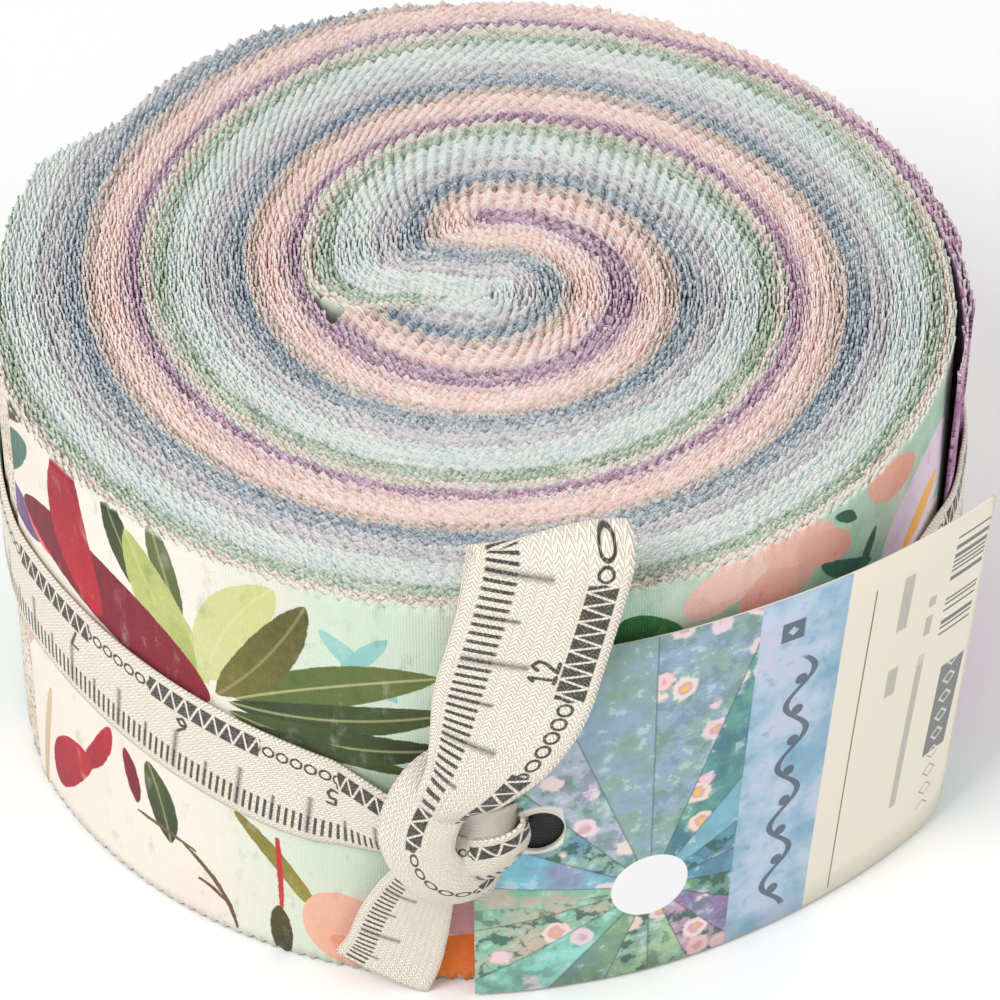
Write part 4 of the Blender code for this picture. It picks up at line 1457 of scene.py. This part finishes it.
@dataclass(frozen=True)
class CardPrint:
    """The card's printing: a fan of patterned wedges round a disc, a painted band and marks."""

    centre: tuple[float, float] = (22.0, 14.8)
    disc: float = 5.0
    fan_end: float = 34.0
    band_end: float = 46.0
    wedges: int = 18
    ink: Colour = rgb("47525F")

    def material(self) -> bpy.types.Material:
        """Make the printed card.

        Returns:
            The material.
        """
        shader = Shader("printed_card", roughness=0.42)
        vector, along, up = shader.uv()
        front = shader.attribute("front").ramp(0.4, 0.6)
        slant = along - (up - 27.0) * 0.065 * along.ramp(20.0, 36.0)
        wash = shader.noise(vector, 0.09, 4.0, 0.6)
        grain = shader.noise(vector, 2.0, 3.0)
        ivory = shader.mix(grain * 0.3, rgb("E6DFCD"), rgb("DFD6C2"))
        paint = shader.mix(wash.ramp(0.35, 0.6), rgb("7FA6BE"), rgb("B4C6D8"))
        paint = shader.mix(wash.ramp(0.52, 0.68) * 0.8, paint, rgb("C7C3DA"))
        paint = shader.mix(shader.noise(vector, 0.5, 3.0).ramp(0.55, 0.75) * 0.5, paint,
                           rgb("6C93AC"))
        colour = shader.mix(slant.ramp(self.band_end - 0.06, self.band_end + 0.06), paint, ivory)
        colour = shader.mix(self.marks(shader, slant, up) * 0.85, colour, self.ink)
        colour = shader.mix(slant.ramp(self.fan_end + 0.06, self.fan_end - 0.06), colour,
                            self.fan(shader, along, up))
        away = self.distance(along, up)
        colour = shader.mix(away.ramp(self.disc + 0.08, self.disc - 0.08), colour, rgb("ECEAEA"))
        back = shader.mix(grain * 0.4, rgb("E9E4D8"), rgb("DDD6C8"))
        colour = shader.mix(front, back, colour)
        return shader.finish(colour, grain, 0.01 * MM)

    def distance(self, along: Value, up: Value) -> Value:
        """Give the distance from the fan's centre: the root of the sum of two squares."""
        return (((along - self.centre[0]) ** 2.0) + ((up - self.centre[1]) ** 2.0)) ** 0.5

    def fan(self, shader: Shader, along: Value, up: Value) -> Value:
        """Paint the fan.

        A wedge's number is the whole part of its direction's angle as a share of a turn,
        times the number of wedges.

        Args:
            shader: The material's shader.
            along: The first coordinate.
            up: The second coordinate.

        Returns:
            The fan's colour.
        """
        angle = (up - self.centre[1]).math("ARCTAN2", along - self.centre[0]) / math.tau + 1.03
        number = (angle * self.wedges).floor()
        share = (number / self.wedges).fract()
        grounds = [rgb(code) for code in (
            "5F7F92", "7DA2B4", "4E7C8C", "73978C", "90A8BE", "B2B6CC", "6C93A8", "63A5C0",
            "7CC0D0", "79B79C", "93D2C6", "84A57C", "4F9C66", "A4C49A", "C69BB6", "93709E",
            "DFB0A2", "6C9672")]
        second = grounds[7:] + grounds[:7]
        ground = shader.node("ShaderNodeValToRGB", {"stops": grounds}, [share + 0.001])
        other = shader.node("ShaderNodeValToRGB", {"stops": second}, [share + 0.001])
        own = shader.vector(along, up, number * 3.1)
        wash = shader.noise(own, 0.22, 3.0, 0.6)
        colour = shader.mix(wash.ramp(0.35, 0.65) * 0.6, ground, other)
        chance = shader.node("ShaderNodeTexWhiteNoise", {"noise_dimensions": "1D"}, {"W": number})
        leafy = shader.noise(own, 0.45, 3.0, 0.62)
        colour = shader.mix(leafy.ramp(0.50, 0.60) * chance.ramp(0.2, 0.7, 0.1, 0.85), colour,
                            rgb("3B5F55"))
        colour = shader.mix(leafy.ramp(0.44, 0.34) * 0.5, colour, rgb("C5DAD6"))
        away, tint = shader.cells(own, 0.17)
        ragged = away + (shader.noise(own, 0.9, 2.0) - 0.5) * 0.22
        flower = shader.mix(0.35, rgb("EFC0C6"), tint)
        flower = shader.mix(0.55, flower, rgb("F4DCD8"))
        petals = ragged.ramp(0.34, 0.26) * chance.ramp(0.25, 0.30)
        colour = shader.mix(petals * 0.92, colour, flower)
        colour = shader.mix(ragged.ramp(0.20, 0.14) * petals * 0.6, colour, rgb("C67F93"))
        colour = shader.mix(ragged.ramp(0.10, 0.05) * petals, colour, rgb("EDBE55"))
        edge = ((angle * self.wedges).fract() - 0.5).abs()
        seam = (0.5 - edge) * self.distance(along, up)
        return shader.mix(seam.ramp(0.5, 0.2) * 0.45, colour, rgb("3C4A50"))

    @staticmethod
    def words(shader: Shader, across: Value, up: Value, half: float, cell: float) -> Value:
        """Draw a line of plain bars in place of words: cells left out at random are the gaps.

        Args:
            shader: The material's shader.
            across: Distance from the line's middle.
            up: Distance along the line.
            half: Half the bars' height.
            cell: The smallest bar's length.

        Returns:
            A mask of the ink.
        """
        drawn = shader.node("ShaderNodeTexWhiteNoise", {"noise_dimensions": "1D"},
                            {"W": (up / cell).floor() + half})
        return drawn.ramp(0.16, 0.18) * across.abs().ramp(half, half - 0.1)

    def marks(self, shader: Shader, along: Value, up: Value) -> Value:
        """Draw the plain ornaments that stand where a label has its words.

        Args:
            shader: The material's shader.
            along: The first coordinate.
            up: The second coordinate.

        Returns:
            A mask of the ink.
        """
        rule = (along - 50.0).abs().ramp(0.14, 0.08) * up.ramp(0.8, 1.2) * up.ramp(51.5, 51.0)
        first = self.words(shader, along - 55.0, up, 0.85, 2.1) * up.between(31.0, 51.0, 0.2)
        second = self.words(shader, along - 59.6, up, 0.6, 1.6) * up.between(9.0, 46.0, 0.2)
        text = first.high(second) * 0.5
        return self.title(along, up).high(rule).high(text).high(self.codes(shader, along, up))

    @staticmethod
    def title(along: Value, up: Value, middle: float = 40.6, sway: float = 1.7,
              corner: tuple[float, float] = (38.5, 50.5)) -> Value:
        """Draw a vine with beads and a small square where the title stands.

        The vine is a sine wave along the band, with a bead at each half wave.

        Args:
            along: The first coordinate.
            up: The second coordinate.
            middle: The vine's middle line.
            sway: How far the vine swings.
            corner: The square's middle.

        Returns:
            A mask of the ink.
        """
        ends = up.ramp(2.5, 3.0) * up.ramp(46.0, 45.0)
        half_wave = 5.07
        vine = (along - middle - (up * 0.62).math("SINE") * sway).abs().ramp(0.55, 0.35) * ends
        beads = (((up / half_wave + 0.25).fract() - 0.5).abs() * half_wave) ** 2.0
        bead = (beads + (along - middle) ** 2.0).ramp(0.9, 0.5) * ends
        x, y = (along - corner[0]).abs(), (up - corner[1]).abs()
        return vine.high(bead).high(x.high(y).ramp(1.6, 1.5) * (x + y).ramp(0.6, 0.8))

    @staticmethod
    def codes(shader: Shader, along: Value, up: Value, middle: float = 66.0,
              stripe: float = 0.36, step: float = 3.2) -> Value:
        """Draw the free edge's random stripes, and below them a dark band of diamonds.

        Args:
            shader: The material's shader.
            along: The first coordinate.
            up: The second coordinate.
            middle: The band's middle line.
            stripe: The narrowest stripe.
            step: Distance from diamond to diamond.

        Returns:
            A mask of the ink.
        """
        drawn = shader.node("ShaderNodeTexWhiteNoise", {"noise_dimensions": "1D"},
                            {"W": (up / stripe).floor()})
        stripes = drawn.ramp(0.48, 0.52) * (along - 64.6).abs().ramp(2.7, 2.6)
        stripes = stripes * up.between(35.0, 53.0, 0.2)
        diamond = ((up / step).fract() - 0.5).abs() * step + (along - middle).abs()
        inside = diamond.ramp(1.3, 1.1)
        band = (along - middle).abs().ramp(2.1, 2.0) * up.between(14.6, 30.4, 0.2)
        band = band * (1.0 - inside * diamond.ramp(0.7, 0.9) * 0.8) * 0.95
        chain = inside * diamond.ramp(0.85, 1.05) * up.between(4.6, 14.4, 0.2) * 0.8
        return stripes.high(band).high(chain)


@dataclass
class Card:
    """The card label, which bends at a line beside its tied end.

    Its sizes are in millimetres and degrees about the roll.
    """

    height: float = 56.0
    thickness: float = 0.45
    lift: float = 0.5
    inner: float = 61.9461
    left_angle: float = -91.6
    hinge_angle: float = -74.0
    free_angle: float = -29.0
    spring: float = 4.6
    spring_angle: float = -66.0
    lean: float = 4.5
    corner: float = 4.0
    hole_angle: float = -84.3
    hole_height: float = 28.0
    hole: float = 6.4
    knot_lift: float = 0.7
    knot_lift_angle: float = -80.0
    bend_half: float = 1.2

    def radius(self, angle: np.ndarray) -> np.ndarray:
        """Give the inner face's radius.

        It is the tied radius, plus the spring times the squared share of the way from the
        spring's start to the free end, plus a small lift at the knot.

        Args:
            angle: Angles in degrees.

        Returns:
            One radius for each angle, in millimetres.
        """
        share = np.maximum(0.0, (angle - self.spring_angle) / (self.free_angle - self.spring_angle))
        lift = self.knot_lift * np.maximum(0.0, (self.knot_lift_angle - angle) / 12.0)
        return self.inner + self.spring * share ** 2 + lift

    def build(self) -> bpy.types.Object:
        """Build the curved card with its rounded corner and punched hole.

        The grid's columns are angles and its rows run from the lower edge to the top; the
        lower edge rises on a quarter circle at the free corner, and the top leans outwards
        by lean times share^1.5 times the height's share.

        Returns:
            The object.
        """
        angle = np.linspace(self.left_angle, self.free_angle, 121)
        plan = polar(angle, self.radius(angle))
        along = run_length(plan)
        past = np.maximum(0.0, along - (along[-1] - self.corner))
        foot = self.corner - np.sqrt(np.maximum(self.corner ** 2 - past ** 2, 0.0))
        rows = np.linspace(0.0, 1.0, 13)[None]
        up = foot[:, None] + (self.height - foot[:, None]) * rows
        share = np.maximum(0.0, (angle - self.hinge_angle) / (self.free_angle - self.hinge_angle))
        lean = self.lean * share[:, None] ** 1.5 * up / self.height
        radius = self.radius(angle)[:, None] + lean
        layers = []
        for extra in (self.thickness, 0.0):
            flat = polar(np.broadcast_to(angle[:, None], up.shape), radius + extra)
            layers.append(np.concatenate([flat, up[..., None] + self.lift], axis=-1))
        rings = np.concatenate([layers[0], layers[1][:, ::-1]], axis=1) * MM
        pattern = np.stack([np.broadcast_to(along[:, None], up.shape), up], axis=-1)
        pattern = np.concatenate([pattern, pattern[:, ::-1]], axis=1)
        front = np.zeros(rings.shape[:2])
        front[:, :rows.size] = 1.0
        card = tube_object("printed_card", rings, pattern, {"front": front})
        return self.punch(card)

    def punch(self, card: bpy.types.Object) -> bpy.types.Object:
        """Cut the round hole that the tape passes through.

        Args:
            card: The whole card.

        Returns:
            The card with its hole.
        """
        bm = bmesh.new()
        bmesh.ops.create_cone(bm, cap_ends=True, segments=48, radius1=self.hole / 2 * MM,
                              radius2=self.hole / 2 * MM, depth=10 * MM)
        where = polar(np.array(self.hole_angle), self.radius(np.array(self.hole_angle))) * MM
        spin = (Matrix.Translation((*where, self.hole_height * MM))
                @ Matrix.Rotation(math.radians(self.hole_angle + 90.0), 4, "Z")
                @ Matrix.Rotation(math.radians(90.0), 4, "X"))
        bmesh.ops.transform(bm, matrix=spin, verts=bm.verts)
        mesh = bpy.data.meshes.new("hole_punch")
        bm.to_mesh(mesh)
        bm.free()
        tool = bpy.data.objects.new("hole_punch", mesh)
        bpy.context.scene.collection.objects.link(tool)
        cut = card.modifiers.new("hole", "BOOLEAN")
        cut.operation = "DIFFERENCE"
        cut.solver = "EXACT"
        cut.object = tool
        shown = card.evaluated_get(bpy.context.evaluated_depsgraph_get())
        card.data = bpy.data.meshes.new_from_object(shown)
        card.modifiers.clear()
        bpy.data.objects.remove(tool)
        return card

    def dress(self) -> None:
        """Build the card, print it and hide the model's label parts."""
        card = self.build()
        card.data.materials.clear()
        card.data.materials.append(CardPrint().material())
        ends = [polar(np.array(self.hinge_angle + side), np.array(self.inner)) * MM
                for side in (-self.bend_half, self.bend_half)]
        middle = (self.lift + self.height / 2) * MM
        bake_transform(card)
        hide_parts("label_tab", "label_panel")
        report(card)


# Studio


@dataclass
class Studio:
    """The floor, the lights and the camera."""

    eye: tuple[float, float, float] = (-3.889 * MM, -480.319 * MM, 444.798 * MM)
    pitch: float = 41.008
    yaw: float = 0.786
    roll: float = -0.46
    view_angle: float = 11.726

    def build(self) -> None:
        """Set the whole studio up."""
        self.floor()
        self.lights()
        self.camera()

    def floor(self) -> None:
        """Lay a pale floor."""
        side = 3.0
        corners = np.array([(-side, -side, 0), (side, -side, 0), (side, side, 0), (-side, side, 0)])
        corners = corners + (0.0, 0.0, TABLE_TOP - 0.1 * MM)
        thing = mesh_object("floor", corners, np.array([[0, 1, 2, 3]]), corners[:, :2] / MM)
        shader = Shader("pale_floor", roughness=0.7)
        vector, _, _ = shader.uv()
        tone = shader.noise(vector, 0.002, 1.0)
        thing.data.materials.append(shader.finish(shader.mix(tone, (0.93,) * 3, (0.96,) * 3)))

    def lights(self) -> None:
        """Hang soft lights and a bright even sky."""
        scene = bpy.context.scene
        world = bpy.data.worlds.new("studio")
        world.use_nodes = True
        world.node_tree.nodes["Background"].inputs["Color"].default_value = (1.0, 1.0, 1.0, 1.0)
        world.node_tree.nodes["Background"].inputs["Strength"].default_value = 0.72
        scene.world = world
        scene.view_settings.view_transform = "Standard"
        for name, place, size, power in (("key", (-0.55, -0.55, 0.85), 0.5, 6.5),
                                         ("fill", (0.75, -0.45, 0.6), 0.6, 1.6)):
            light = bpy.data.lights.new(name, "AREA")
            light.size = size
            light.energy = power
            lamp = bpy.data.objects.new(name, light)
            lamp.location = place
            lamp.rotation_euler = (-Vector(place)).to_track_quat("-Z", "Y").to_euler()
            scene.collection.objects.link(lamp)

    def camera(self) -> None:
        """Place the camera above the front, looking down at the roll."""
        camera = bpy.data.cameras.new("camera")
        camera.sensor_fit = "HORIZONTAL"
        camera.angle = math.radians(self.view_angle)
        camera.clip_start = 0.01
        thing = bpy.data.objects.new("camera", camera)
        turn = (Matrix.Rotation(math.radians(-self.yaw), 4, "Z")
                @ Matrix.Rotation(math.radians(90.0 - self.pitch), 4, "X")
                @ Matrix.Rotation(math.radians(self.roll), 4, "Z"))
        thing.matrix_world = Matrix.Translation(self.eye) @ turn
        bpy.context.scene.collection.objects.link(thing)
        bpy.context.scene.camera = thing


def main() -> None:
    """Build the roll, its tape, its card and the studio."""
    logging.basicConfig(level=logging.INFO, format="%(message)s")
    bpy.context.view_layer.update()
    roll = Roll()
    roll.dress()
    Tie(roll.hull()).dress()
    Card().dress()
    Studio().build()


if __name__ == "__main__":
    main()
